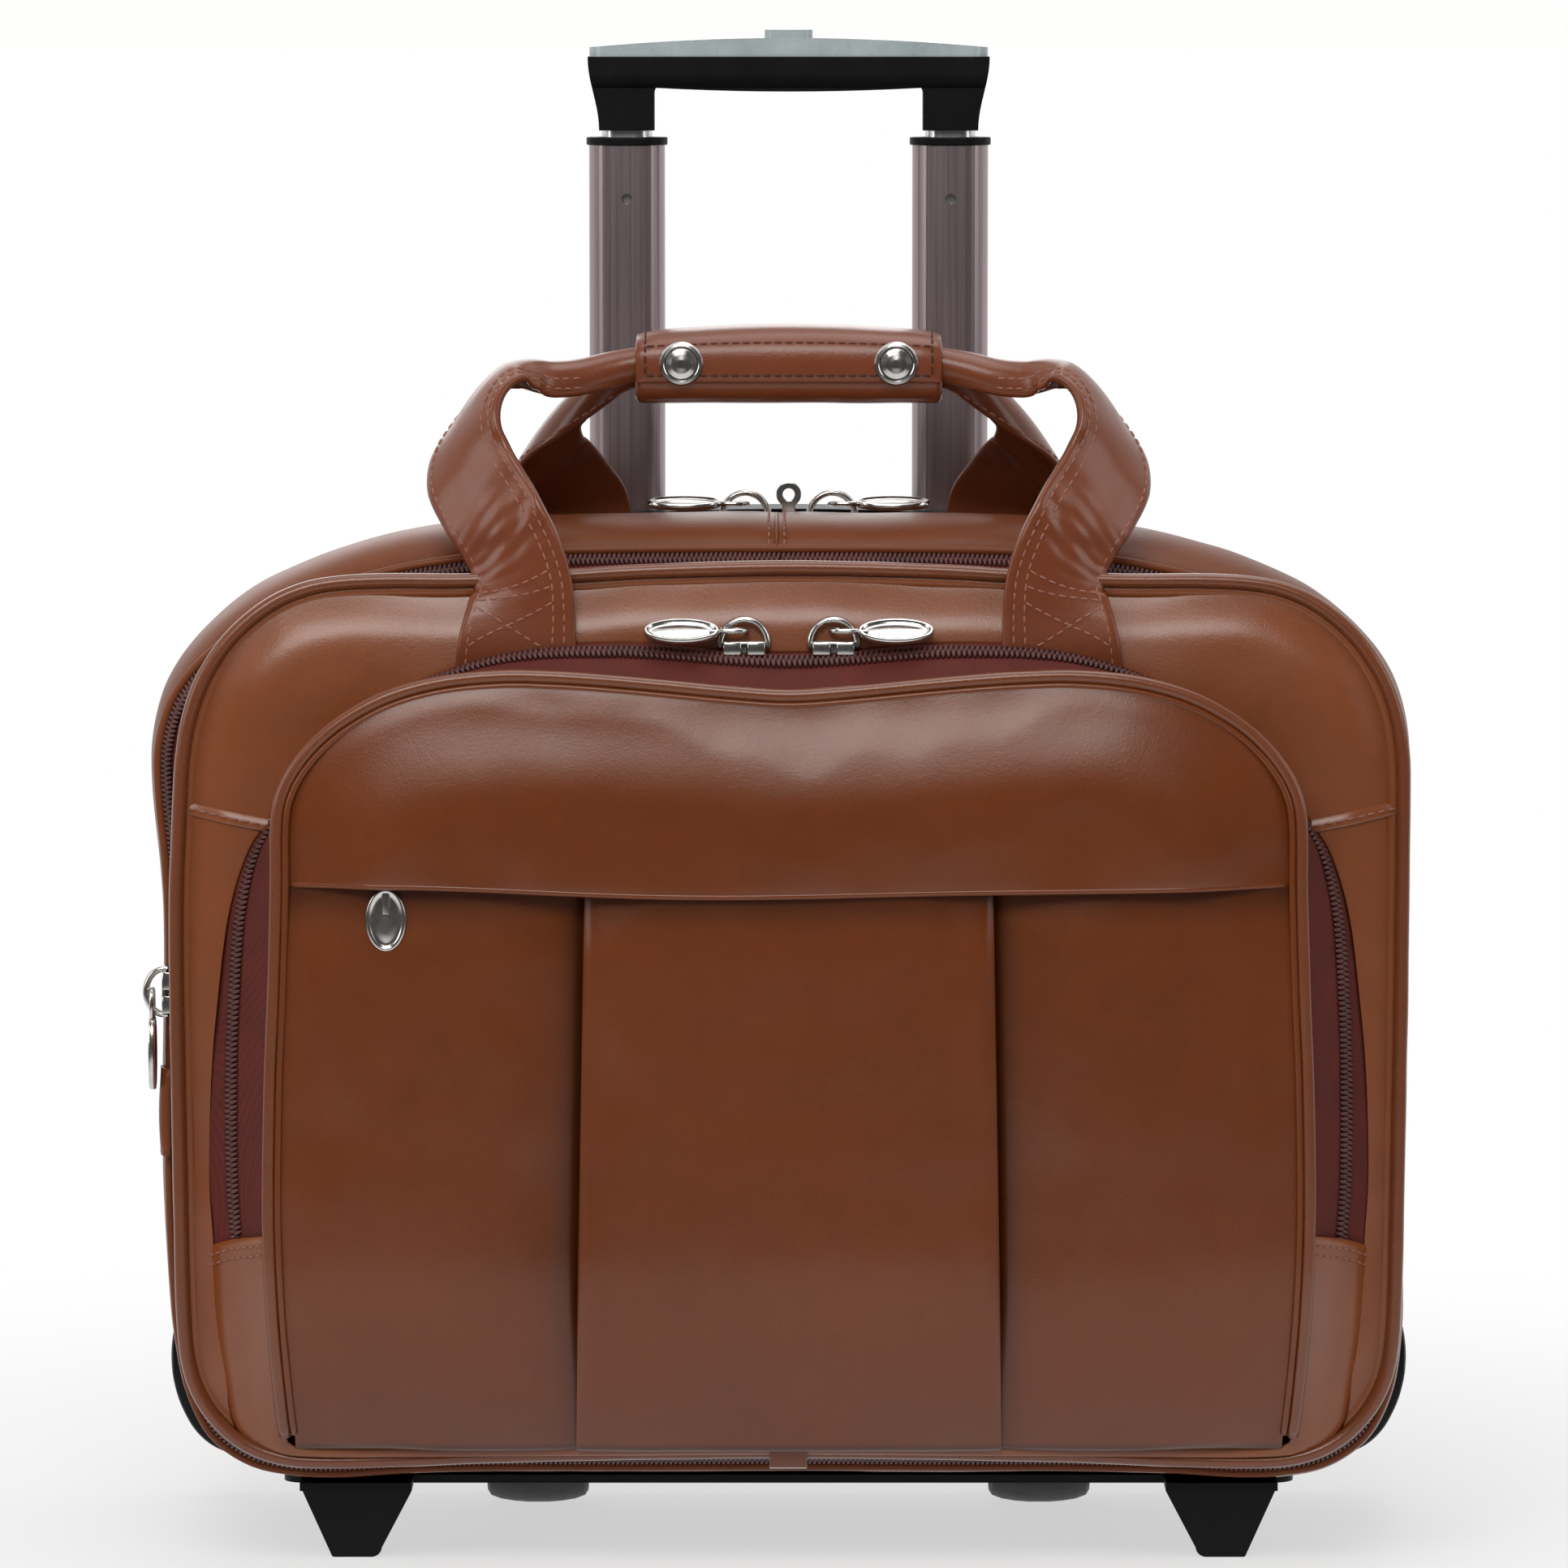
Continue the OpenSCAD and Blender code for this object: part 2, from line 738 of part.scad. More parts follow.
module mid_gusset() {
    color(leather) sewn() difference() {
        hull() {
            slab(mid_y, mid_y + 0.5) mid_outline(mid_soft_front);
            slab(mid_y + mid_depth / 3, mid_y + 0.67 * mid_depth) mid_outline(0);
            slab(mid_end - 0.5, mid_end) mid_outline(mid_soft_rear);
        }
        slab(mid_y - 1, mid_end + 1) mid_outline(roll);
    }
}

module expansion_zip() {
    color(tape_red) difference() {
        slab(band_end + 0.6, mid_y) difference() {
            mid_outline(side_zip_inset);
            front_outline(-0.6);
        }
        translate([-side_zip_half, side_zip_mid, side_slider_z]) rotate([0, -90, 0]) slider_slot(20);
    }
}

module side_slider() {
    translate([-side_zip_half, side_zip_mid, side_slider_z]) rotate([0, -90, 0]) slider(side_zip_thick);
}

module side_pull() {
    translate([-side_zip_half - pin_rise, side_zip_mid, side_slider_z]) rotate([0, -90, 0]) zip_pull(0);
}

// Front section

module front_panel() {
    color(leather) {
        slab(front_y, band_y) front_outline(0.3);
        // Piping round the edge
        slab(front_y - piping_out, front_y) difference() {
            front_outline(0.3);
            front_outline(piping + 0.3);
        }
    }
}

module front_gusset() {
    color(leather) sewn() slab(band_y, band_end) difference() {
        front_outline(0);
        front_outline(wall);
    }
}

module expansion_gusset() {
    reach = mid_end - 4;
    skin = 1.5;
    color(tape_red) slab(band_y, reach) difference() {
        front_outline(wall + 0.05);
        front_outline(wall + 0.05 + skin);
    }
}

// Pocket: a shallow tray flaring from its panel to the zip
module pocket_shell(end_y, end_half, end_top) {
    difference() {
        hull() {
            slab(pocket_y, pocket_y + 0.5) pocket_outline(2.5);
            slab(pocket_y + 2, pocket_y + 2.5) pocket_outline(0);
            slab(end_y - 0.5, end_y) rounded(end_half, shell_low, end_top, frame_radius - 6, 26);
        }
        hull() {
            slab(pocket_y + pocket_skin, pocket_y + pocket_skin + 0.5) pocket_outline(pocket_wall + 0.5);
            slab(end_y, end_y + 0.5)
                rounded(end_half - pocket_wall, shell_low + pocket_wall, end_top - pocket_wall,
                    frame_radius - 9, 23);
        }
    }
}

// Rolled edge of the pocket panel and its two pleats
module pocket_rim() {
    slab(pocket_y - 1.2, pocket_y + 1) difference() {
        pocket_outline(1.2);
        pocket_outline(5.2);
    }
}

module pleat_cut() {
    for (side = [-1, 1]) translate([side * pleat_gap / 2, pocket_y - 1.2, pocket_low + 6])
        linear_extrude(flap_low - pocket_low) polygon([[-2.4, 0], [2.4, 0], [0, 3.6]]);
}

module pocket_base() {
    color(leather) difference() {
        intersection() {
            union() {
                pocket_shell(front_y, frame_half - 2, frame_top - 2);
                pocket_rim();
            }
            below(pocket_fold - fold_gap / 2);
        }
        pleat_cut();
    }
}

module pocket_cover() {
    color(leather) difference() {
        intersection() {
            union() {
                pocket_shell(pocket_end, flare_half, flare_top);
                pocket_rim();
            }
            above(pocket_fold + fold_gap / 2);
        }
        pleat_cut();
        // Seat of the hidden zip
        translate([-flap_zip_half, pocket_y - 1, flap_zip_z - 3]) cube([2 * flap_zip_half, 2.5, 6]);
        // Flap bed
        translate([-pocket_half, pocket_y - 5, flap_low - 2]) cube([pocket_width, 5, 30]);
    }
}

module pocket_flap() {
    color(leather) intersection() {
        bar(-pocket_half, pocket_half) polygon([
            [pocket_y, flap_top], [pocket_y - 1.4, flap_top], [flap_y, flap_low + 2],
            [flap_y + 0.6, flap_low], [flap_y + flap_thick, flap_low], [pocket_y, flap_top - 14]]);
        slab(flap_y - 1, pocket_y) pocket_outline(6);
    }
}

module flap_zip() {
    color(tape_red) translate([-flap_zip_half + 0.1, pocket_y, flap_zip_z - 2.9])
        cube([2 * flap_zip_half - 0.2, 1.45, 5.8]);
}

module flap_slider() {
    color(nickel) translate([flap_pull_x, pocket_y, flap_zip_z]) rotate([90, 0, 0]) {
        translate([-4.5, -3.2, 0.05]) cube([9, 6.4, 0.9]);
        cylinder(r = pin_radius, h = 2.6);
    }
}

module flap_pull() {
    eye = 2.6;
    thick = 1.4;
    low = flap_pull_long - 7.25;
    color(nickel) translate([flap_pull_x, pocket_y - 1.1, flap_zip_z]) rotate([90, 0, 0]) difference() {
        linear_extrude(thick) union() {
            circle(r = eye);
            translate([-1.5, -12]) square([3, 12]);
            translate([0, -low + 4]) rotate(90) oval(22.5, 14.5);
        }
        translate([0, 0, -1]) cylinder(r = pin_radius + turn_gap, h = 10);
        translate([0, -low + 4, thick - 0.4]) linear_extrude(2) rotate(90) oval(19.5, 11.5);
    }
}

module pocket_zip() {
    color(tape_red) difference() {
        intersection() {
            slab(front_y - frame_thick, front_y) difference() {
                frame_outline(0);
                frame_outline(frame_band);
            }
            above(pocket_fold + fold_gap / 2);
        }
        for (side = [-1, 1]) translate([side * slot_x, front_y - frame_thick / 2, frame_top])
            slider_slot(40);
    }
}

module pocket_slider_left() {
    translate([-slot_x, front_y - frame_thick / 2, frame_top]) slider(frame_band);
}

module pocket_slider_right() {
    translate([slot_x, front_y - frame_thick / 2, frame_top]) slider(frame_band);
}

module pocket_pull_left() {
    translate([-slot_x, front_y - frame_thick / 2, frame_top + pin_rise]) zip_pull(-5.2);
}

module pocket_pull_right() {
    translate([slot_x, front_y - frame_thick / 2, frame_top + pin_rise]) mirror([1, 0, 0]) zip_pull(-5.2);
}

module front_strap_right() {
    face = front_y - piping_out - strap_thick / 2 - 0.2;
    reach = wrap_y - core_shift - face;
    rise = front_core_z - front_top;
    x0 = strap_gap / 2;
    half = strap_width / 2;
    color(leather) strap(
        [[x0, face, frame_top + 4.4], [x0 - 2, face - 0.4, front_top - 8], [x0 - 1, face, front_top + 2],
         [x0 + 6, face + 0.12 * reach, front_top + 0.22 * rise],
         [x0 + 11.5, face + 0.26 * reach, front_top + 0.37 * rise],
         [x0 + 15, face + 0.37 * reach, front_top + 0.49 * rise],
         [x0 + 15.6, face + 0.47 * reach, front_top + 0.62 * rise],
         [x0 + 14.4, face + 0.58 * reach, front_top + 0.75 * rise],
         [x0 + 11.5, face + 0.68 * reach, front_top + 0.89 * rise],
         [x0 + 2.4, face + 0.8 * reach, front_top + 1.02 * rise],
         [x0 - 12, face + 0.91 * reach, front_top + 1.01 * rise],
         [core_half + 9.4, face + 0.98 * reach, front_core_z],
         [core_half + 0.9, face + reach, front_core_z]],
        [half, half, half, half - 1, half - 1, half - 2, half - 3, half - 4, half - 5, half - 7, half - 10,
         half - 13, half - 15],
        [[1, 0, 0], [1, 0, 0], [1, 0, 0], [1, 0.1, 0], [0.95, 0.3, 0], [0.85, 0.5, 0], [0.75, 0.65, 0],
         [0.6, 0.8, 0], [0.4, 0.9, 0], [0.15, 1, 0], [0, 1, 0.3], [0, 0.8, 0.6], [0, 0.5, 0.9]],
        strap_thick);
}

module front_strap_left() {
    mirror([1, 0, 0]) front_strap_right();
}

// Carry grip

module wrap_section(inset) {
    radius = 11 - inset;
    half = wrap_deep / 2 - inset;
    low = wrap_height - wrap_tall / 2 + inset;
    tall = wrap_tall - 2 * inset;
    translate([wrap_y - half, low + radius]) square([2 * half, tall - 2 * radius]);
    translate([wrap_y - half + radius, low]) square([2 * (half - radius), tall]);
    for (side = [-1, 1]) for (z = [low + radius, low + tall - radius])
        translate([wrap_y + side * (half - radius), z]) circle(r = radius);
}

module both_cores(r, half) {
    translate([-half, wrap_y - core_shift, front_core_z]) rotate([0, 90, 0]) cylinder(r = r, h = 2 * half);
    translate([-half, wrap_y + core_shift, rear_core_z]) rotate([0, 90, 0]) cylinder(r = r, h = 2 * half);
}

module handle_wrap() {
    crown = 520;
    color(leather) difference() {
        intersection() {
            bar(-wrap_half, wrap_half) wrap_section(0);
            // Crowned along its length
            translate([0, wrap_y + wrap_deep, wrap_height + wrap_tall / 2 - crown]) rotate([90, 0, 0])
                cylinder(r = crown, h = 2 * wrap_deep, $fn = 200);
        }
        both_cores(core_radius + 0.2, wrap_half + 1);
    }
}

module handle_cores() {
    color(leather_dark) both_cores(core_radius, core_half);
}

module snap_caps() {
    r = snap_dia / 2;
    color(nickel) for (side = [-1, 1])
        translate([side * snap_gap / 2, wrap_y - wrap_deep / 2, wrap_height + 1.5]) rotate([90, 0, 0])
            rotate_extrude() polygon([[0, 0], [r, 0], [r, 0.9], [r - 0.6, 1.7], [r - 1.5, 1.9],
                [r - 2.1, 1.5], [r - 2.6, 2.1], [r - 4.4, 2.9], [1.6, 3.3], [0, 3.3]]);
}

// Trolley

module outer_tubes() {
    color(mauve) both_tubes() difference() {
        translate([0, 0, outer_low]) linear_extrude(outer_long) difference() {
            oval(tube_width, tube_deep);
            oval(tube_width - 2 * tube_wall, tube_deep - 2 * tube_wall);
        }
        // Dimple of the lock pin near the top
        translate([0, -tube_deep / 2, collar_top - 23]) rotate([90, 0, 0])
            cylinder(r = 2, h = 3, center = true);
    }
}

module outer_collars() {
    color(black) both_tubes() difference() {
        union() {
            translate([0, 0, collar_top - 3]) linear_extrude(3) oval(tube_width + 2, tube_deep + 2);
            translate([0, 0, collar_top - collar_tall - 3]) linear_extrude(collar_tall + 1)
                oval(tube_width - 2 * tube_wall - 0.1, tube_deep - 2 * tube_wall - 0.1);
        }
        translate([0, 0, collar_top - 20]) linear_extrude(40)
            oval(inner_width + 2 * slide_gap, inner_deep + 2 * slide_gap);
    }
}

module outer_plugs() {
    color(black) both_tubes() difference() {
        translate([0, 0, outer_low - plug_tall]) linear_extrude(plug_tall)
            oval(sleeve_width - 2 * tube_wall - 2 * slide_gap, sleeve_deep - 2 * tube_wall - 2 * slide_gap);
        translate([0, 0, outer_low - 20]) cylinder(r = 5, h = 40);
    }
}

module inner_tubes() {
    inner_wall = 1.2;
    color(nickel) both_tubes() translate([0, 0, inner_low]) linear_extrude(inner_high - inner_low)
        difference() {
            oval(inner_width, inner_deep);
            oval(inner_width - 2 * inner_wall, inner_deep - 2 * inner_wall);
        }
}

module inner_plugs() {
    guide_tall = 9;
    color(black) both_tubes() difference() {
        translate([0, 0, inner_low - guide_tall]) linear_extrude(guide_tall)
            oval(tube_width - 2 * tube_wall - 2 * slide_gap, tube_deep - 2 * tube_wall - 2 * slide_gap);
        translate([0, 0, inner_low - 20]) cylinder(r = rod_radius + 0.6, h = 40);
    }
}

// Front view of one half of the grip: the end sweeps inward to its socket
module grip_end() {
    flare = grip_width / 2 - socket_out;
    shoulder = grip_top - cap_tall;
    sweep = [for (t = [0:0.1:1])
        [socket_out + flare * (1 + cos(180 * t)) / 2, shoulder - t * (shoulder - grip_floor)]];
    under = [[socket_in, grip_floor], [socket_in, bar_low + grip_fillet], [0, bar_low]];
    polygon(concat([[0, shoulder]], sweep, under));
}

// Fillet between a socket and the underside of the bar, and the bow of that underside
module grip_under() {
    bow = 900;
    intersection() {
        translate([-socket_in, bar_low - 4]) square([2 * socket_in, 10]);
        translate([0, bar_low + bow]) circle(r = bow, $fn = 200);
    }
    for (side = [-1, 1]) difference() {
        translate([side * (socket_in - grip_fillet / 2), bar_low + 2])
            square([grip_fillet, 2 * grip_fillet], center = true);
        translate([side * (socket_in - grip_fillet), bar_low - grip_fillet + 2.4]) circle(r = grip_fillet);
    }
}

module trolley_grip() {
    front = tube_y - grip_deep / 2;
    color(black) difference() {
        intersection() {
            union() {
                slab(front, front + grip_deep) grip_end();
                slab(front, front + grip_deep) mirror([1, 0]) grip_end();
                slab(front, front + grip_deep) grip_under();
            }
            // Round lower edges of the bar, and the slimmer legs of the sockets
            bar(-grip_width, grip_width) union() {
                translate([front, bar_low + grip_edge]) square([grip_deep, 60]);
                translate([front + grip_edge, grip_floor - 1]) square([grip_deep - 2 * grip_edge, 60]);
                translate([front + socket_wall + 1.4, grip_floor - 1])
                    square([grip_deep - 2 * socket_wall - 2.8, bar_low + grip_edge - grip_floor]);
                for (y = [front + grip_edge, front + grip_deep - grip_edge])
                    translate([y, bar_low + grip_edge]) circle(r = grip_edge);
            }
        }
        both_tubes() translate([0, 0, grip_floor - 1]) linear_extrude(inner_high - grip_floor + 1.05)
            oval(inner_width + 0.1, inner_deep + 0.1);
        both_tubes() translate([0, 0, grip_floor]) cylinder(r = rod_radius + 0.5, h = 40);
        // Room for the cross bar of the release button
        translate([-tube_x - 6, tube_y - rod_slot / 2, bar_low + 4.5]) cube([tube_gap + 12, rod_slot, 40]);
    }
}

module grip_cap() {
    half = grip_width / 2 - 0.5;
    crown = 800;
    corner = 7;
    deep = grip_deep - 2;
    color(mauve) difference() {
        intersection() {
            translate([0, tube_y + deep, grip_top - crown]) rotate([90, 0, 0])
                cylinder(r = crown, h = 2 * deep, $fn = 240);
            translate([0, tube_y, grip_top - cap_tall]) linear_extrude(2 * cap_tall) {
                square([2 * half - 2 * corner, deep], center = true);
                square([2 * half, deep - 2 * corner], center = true);
                for (side = [-1, 1]) for (edge = [-1, 1])
                    translate([side * (half - corner), edge * (deep / 2 - corner)]) circle(r = corner);
            }
        }
        translate([0, tube_y, grip_top - 2 * cap_tall]) linear_extrude(4 * cap_tall)
            oval(button_width + button_gap, button_deep + button_gap);
    }
}

module release_button() {
    rod_low = inner_low - 6;
    bar_rise = grip_top - cap_tall - 4;
    color(grey) {
        translate([0, tube_y, bar_rise]) linear_extrude(grip_top + button_rise - bar_rise)
            oval(button_width, button_deep);
        // Cross bar and rods that release the lock pins
        translate([-tube_x - 5, tube_y - 3.6, bar_rise]) cube([tube_gap + 10, 7.2, 3.6]);
        both_tubes() translate([0, 0, rod_low]) cylinder(r = rod_radius, h = bar_rise - rod_low + 1);
    }
}

// Wheels: crowned tyre on a ribbed hub

module at_wheel(side) {
    translate([side * wheel_x, wheel_y, wheel_radius]) rotate([0, 90, 0]) children();
}

module tyre() {
    half = wheel_width / 2;
    rim = wheel_radius * 0.7;
    crown = [[rim, 2 - half], [wheel_radius - 4.5, -half], [wheel_radius - 2.6, 1.2 - half],
        [wheel_radius - 1.2, 5 - half], [wheel_radius - 0.4, 10 - half], [wheel_radius, -4]];
    other = [for (i = [len(crown) - 1:-1:0]) [crown[i][0], -crown[i][1]]];
    color(grey) rotate_extrude() polygon(concat(crown, other));
}

module hub() {
    half = wheel_width / 2;
    rim = wheel_radius * 0.7 - 0.02;
    boss = axle_radius + 4;
    color(black) {
        rotate_extrude() polygon([[axle_radius + turn_gap, -half - 0.6], [boss, -half - 0.6],
            [boss, -4], [rim - 2.5, -4], [rim - 2.5, -half + 2], [rim, -half + 2],
            [rim, half - 2], [rim - 2.5, half - 2], [rim - 2.5, 4], [boss, 4],
            [boss, half + 0.6], [axle_radius + turn_gap, half + 0.6]]);
        for (spoke = [0:5]) rotate(60 * spoke) translate([boss - 1, -1, -half + 4])
            cube([rim - boss - 0.5, 2, 2 * half - 8]);
    }
}

module tyre_left() {
    at_wheel(-1) tyre();
}

module tyre_right() {
    at_wheel(1) tyre();
}

module wheel_left() {
    at_wheel(-1) hub();
}

module wheel_right() {
    at_wheel(1) hub();
}

back_panel();
rear_gusset();
lining_board();
laptop_divider();
base_tray();
corner_guard_left();
corner_guard_right();
front_foot_left();
front_foot_right();
wheel_housing_left();
wheel_housing_right();
housing_screws();
axle_left();
axle_right();
trolley_sleeves();
sleeve_bezel();
sleeve_bracket();
main_zip();
main_slider_left();
main_slider_right();
lock_ring();
rear_strap_left();
rear_strap_right();
mid_gusset();
expansion_zip();
side_slider();
front_panel();
front_gusset();
expansion_gusset();
pocket_base();
pocket_zip();
pocket_slider_left();
pocket_slider_right();
front_strap_left();
front_strap_right();
pocket_cover();
pocket_flap();
flap_zip();
flap_slider();
handle_wrap();
handle_cores();
snap_caps();
outer_tubes();
outer_collars();
outer_plugs();
inner_tubes();
inner_plugs();
trolley_grip();
grip_cap();
release_button();
wheel_left();
wheel_right();
tyre_left();
tyre_right();
main_pull_left();
main_pull_right();
pocket_pull_left();
pocket_pull_right();
side_pull();
flap_pull();
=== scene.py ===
import math

import bmesh
import bpy
import numpy as np
from mathutils import Matrix, Vector, noise


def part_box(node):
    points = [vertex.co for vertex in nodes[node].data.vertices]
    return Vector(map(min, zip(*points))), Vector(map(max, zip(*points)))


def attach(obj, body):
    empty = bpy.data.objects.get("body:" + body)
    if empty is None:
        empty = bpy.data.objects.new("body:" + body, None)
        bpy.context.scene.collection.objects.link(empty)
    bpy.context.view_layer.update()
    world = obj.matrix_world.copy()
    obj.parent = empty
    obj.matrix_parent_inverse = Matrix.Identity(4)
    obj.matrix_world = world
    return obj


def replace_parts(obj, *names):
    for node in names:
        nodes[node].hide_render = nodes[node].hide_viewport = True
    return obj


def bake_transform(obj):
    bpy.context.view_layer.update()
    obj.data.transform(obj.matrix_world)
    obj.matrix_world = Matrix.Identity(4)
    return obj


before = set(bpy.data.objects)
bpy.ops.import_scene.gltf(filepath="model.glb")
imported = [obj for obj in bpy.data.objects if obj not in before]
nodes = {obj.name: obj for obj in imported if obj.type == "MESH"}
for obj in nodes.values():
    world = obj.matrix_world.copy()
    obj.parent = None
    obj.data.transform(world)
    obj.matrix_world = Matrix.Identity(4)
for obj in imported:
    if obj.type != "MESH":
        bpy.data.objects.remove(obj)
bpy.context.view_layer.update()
scene = bpy.context.scene
MM = 0.001
SIDES = (("left", -1), ("right", 1))

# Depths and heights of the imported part, in millimetres like all sizes up to the stage
FRONT_Y, BAND_END = -69.25, -48.75
REAR_Y, REAR_END, BACK_Y = 21.25, 93.25, 97.75
POCKET_Y, FLAP_Y = -97.25, -103.75
MAIN_ZIP_Y, MAIN_ZIP_Z, SLOT_X = 17.75, 378.0, 16.0
POCKET_ZIP_Y, POCKET_ZIP_Z = FRONT_Y - 3.35, 338.0
FLAP_ZIP_Z, FLAP_PULL_X = 259.0, -143.6
SIDE_ZIP_X, SIDE_ZIP_Z = -225.5, 210.0
WRAP_Y, WRAP_Z, WRAP_HALF = -7.75, 435.5, 55.5

# Right halves of the outlines, from the top middle to the bottom middle, as X and Z
MID = [(0, 382), (45, 381.8), (88, 380.8), (127, 376.8), (160, 369), (184, 359.5), (198, 351), (208.5, 342),
       (217.3, 332), (223.6, 321), (227.1, 310), (228.8, 299), (229, 288), (228.2, 274), (226.6, 258),
       (225.6, 240), (225.3, 215), (225.6, 180), (226, 140), (226, 100), (225, 80), (221.5, 60), (213, 43),
       (198.5, 32.4), (182, 28.4), (164, 27.6), (137, 29.2), (100, 30), (60, 30), (0, 30.2)]
REAR = [(0, 376), (45, 375.8), (82, 374.8), (122, 370.6), (152, 363.5), (176, 354), (196, 341), (211, 324),
        (221, 305), (225, 286), (225.6, 240), (225, 180), (224, 123), (222.5, 85), (218.5, 60), (208, 41.5),
        (190, 31.2), (164, 28.2), (120, 28), (60, 28), (0, 28)]
FRONT = [(0, 365.6), (50, 364.4), (82, 362.6), (117, 361), (145, 361), (163, 360.2), (176, 357.8),
         (189, 351.8), (202, 340.8), (211.4, 327), (216.8, 312.6), (219.2, 298), (219.9, 284), (220.2, 268),
         (220.6, 250), (220.6, 215), (220.2, 180), (219.6, 135), (219, 100), (217.4, 79), (213, 65.5),
         (205.5, 55), (195.5, 47.2), (183, 42.8), (168, 41.6), (140, 42.2), (115, 43.4), (80, 44.4),
         (45, 45), (0, 45.4)]
POCKET = [(0, 321.8), (20, 323), (47, 325.6), (65, 327.2), (83, 328.4), (102, 328.8), (123, 326.8),
          (141, 322.2), (155.4, 315.2), (167, 306.6), (176, 296.2), (181.2, 285.6), (182.8, 274),
          (183, 252), (184.2, 214), (185.6, 183), (186.4, 138), (185.4, 103), (183.4, 71), (182, 54),
          (180.6, 49.4), (176, 47.6), (160, 47.2), (110, 47.4), (55, 48), (0, 48.4)]
CHAIN = [(0, 332.6), (51, 335.8), (69, 336), (87, 335.4), (105, 332.8), (121, 328), (137, 321.8), (151, 314),
         (162.4, 305), (171.6, 295), (179, 284), (186.4, 272), (192.2, 261), (196.9, 240), (199.3, 208),
         (200.2, 181), (200.1, 146), (198.4, 121), (196, 90), (193, 66), (190, 54), (184, 48.4), (168, 46.6),
         (120, 46.8), (60, 47.2), (0, 47.6)]
BASE = [(0, 335.4), (51, 338.6), (69, 338.8), (87, 338), (105, 335), (121, 329.4), (137, 322.6), (151, 314.8),
        (162.4, 305.8), (171.8, 296), (179.6, 285), (187.8, 273.4), (194.8, 262), (201.4, 240), (205.6, 208),
        (208, 181), (209, 146), (207.6, 121), (206, 90), (202, 66), (199, 54), (191, 47.6), (170, 45.4),
        (120, 45.6), (60, 46), (0, 46.4)]


# Points and curves


def between(a, b, t):
    return a * (1 - t) + b * t


def smooth(t):
    t = np.clip(t, 0, 1)
    return t * t * (3 - 2 * t)


def bell(v, middle, wide):
    return np.exp(-((v - middle) / wide) ** 2)


def unit(v):
    return v / np.linalg.norm(v, axis=1)[:, None]


def facing(v, out):
    """Vectors turned to the side that out points to."""
    return v * np.sign((v * out).sum(1))[:, None]


def xyz(x, y, z):
    """Points from coordinates, some of which may be single values."""
    return np.stack(np.broadcast_arrays(x, y, z), -1).astype(float)


def circle(n):
    return np.linspace(0, 2 * math.pi, n, endpoint=False)


def catmull(points, closed, per):
    """Smooth curve through points, with so many steps per span."""
    p = np.array(points, float)
    n = len(p)
    out = []
    for i in range(n if closed else n - 1):
        a, b, c, d = (p[k % n] if closed else p[min(max(k, 0), n - 1)] for k in range(i - 1, i + 3))
        for k in range(per):
            t = k / per
            out.append(0.5 * (2 * b + (c - a) * t + (2 * a - 5 * b + 4 * c - d) * t * t
                              + (3 * b - a - 3 * c + d) * t ** 3))
    return np.array(out if closed else out + [p[-1]])


def run_length(p):
    """Distance along a path at each of its points."""
    return np.concatenate([[0], np.cumsum(np.linalg.norm(np.diff(p, axis=0), axis=1))])


def sample(want, s, values):
    """Columns of values, known at the distances s, at the distances wanted."""
    return np.stack([np.interp(want, s, column) for column in values.T], 1)


def looped(p, closed):
    return np.vstack([p, p[:1]]) if closed else p


def resample(p, n, closed=False):
    q = looped(p, closed)
    s = run_length(q)
    return sample(np.linspace(0, s[-1], n + 1)[:-1] if closed else np.linspace(0, s[-1], n), s, q)


def tangents(p, closed=False):
    return unit(np.roll(p, -1, 0) - np.roll(p, 1, 0) if closed else np.gradient(p, axis=0))


class Outline:
    """Closed outline in X and Z, clockwise from the top middle, with outward normals."""

    def __init__(self, points):
        self.p = points
        d = tangents(points, True)
        self.n = np.stack([-d[:, 1], d[:, 0]], 1)

    def inset(self, amount):
        return Outline(self.p - self.n * np.reshape(amount, (-1, 1)))

    def ring(self, offset, y):
        q = self.p + self.n * np.reshape(offset, (-1, 1))
        return xyz(q[:, 0], y, q[:, 1])


def outline(half, n, lean=0.0, above=60.0):
    """Evenly sampled outline from its right half; lean shifts it sideways above a height."""
    right = np.array(half, float)
    left = right[::-1] * [-1, 1]
    o = Outline(resample(catmull(np.vstack([right, left[1:-1]]), True, 16), n, True))
    o.p[:, 0] += lean * smooth((o.p[:, 1] - above) / 90)
    return o


def arc(o, low_z):
    """Indices of the stretch above low_z, from the left end over the top to the right end."""
    n = len(o.p)
    order = [(i + n // 2) % n for i in range(n)]
    return [i for i in order if o.p[i, 1] > low_z]


def edge_distance(o, x, z):
    g = np.stack([np.ravel(x), np.ravel(z)], 1)
    best = np.full(len(g), 1e9)
    for a, b in zip(o.p, np.roll(o.p, -1, 0)):
        d = b - a
        t = np.clip(((g - a) @ d) / (d @ d), 0, 1)
        best = np.minimum(best, np.linalg.norm(g - a - t[:, None] * d, axis=1))
    return best.reshape(np.shape(x))


def discs(o, steps):
    """Rings from the edge of an outline inwards, then shrinking to its middle, as X and Z grids."""
    rings = [o.p - o.n * k for k in steps]
    mid = rings[-1].mean(0)
    rings += [mid + (rings[-1] - mid) * k for k in np.linspace(0.96, 0.03, 24)]
    return np.moveaxis(np.array(rings), 2, 0)


def wavy(p, scale, amp, seed=0.0):
    return np.array([amp * noise.noise(Vector((q[0] * scale + seed, q[1] * scale - seed, q[2] * scale)))
                     for q in p])


def ripple(x, z, sx, sz, amp, seed):
    flat = [amp * noise.noise(Vector((a * sx, seed, b * sz))) for a, b in zip(np.ravel(x), np.ravel(z))]
    return np.array(flat).reshape(np.shape(x))


# Shapes, as pairs of vertices and faces


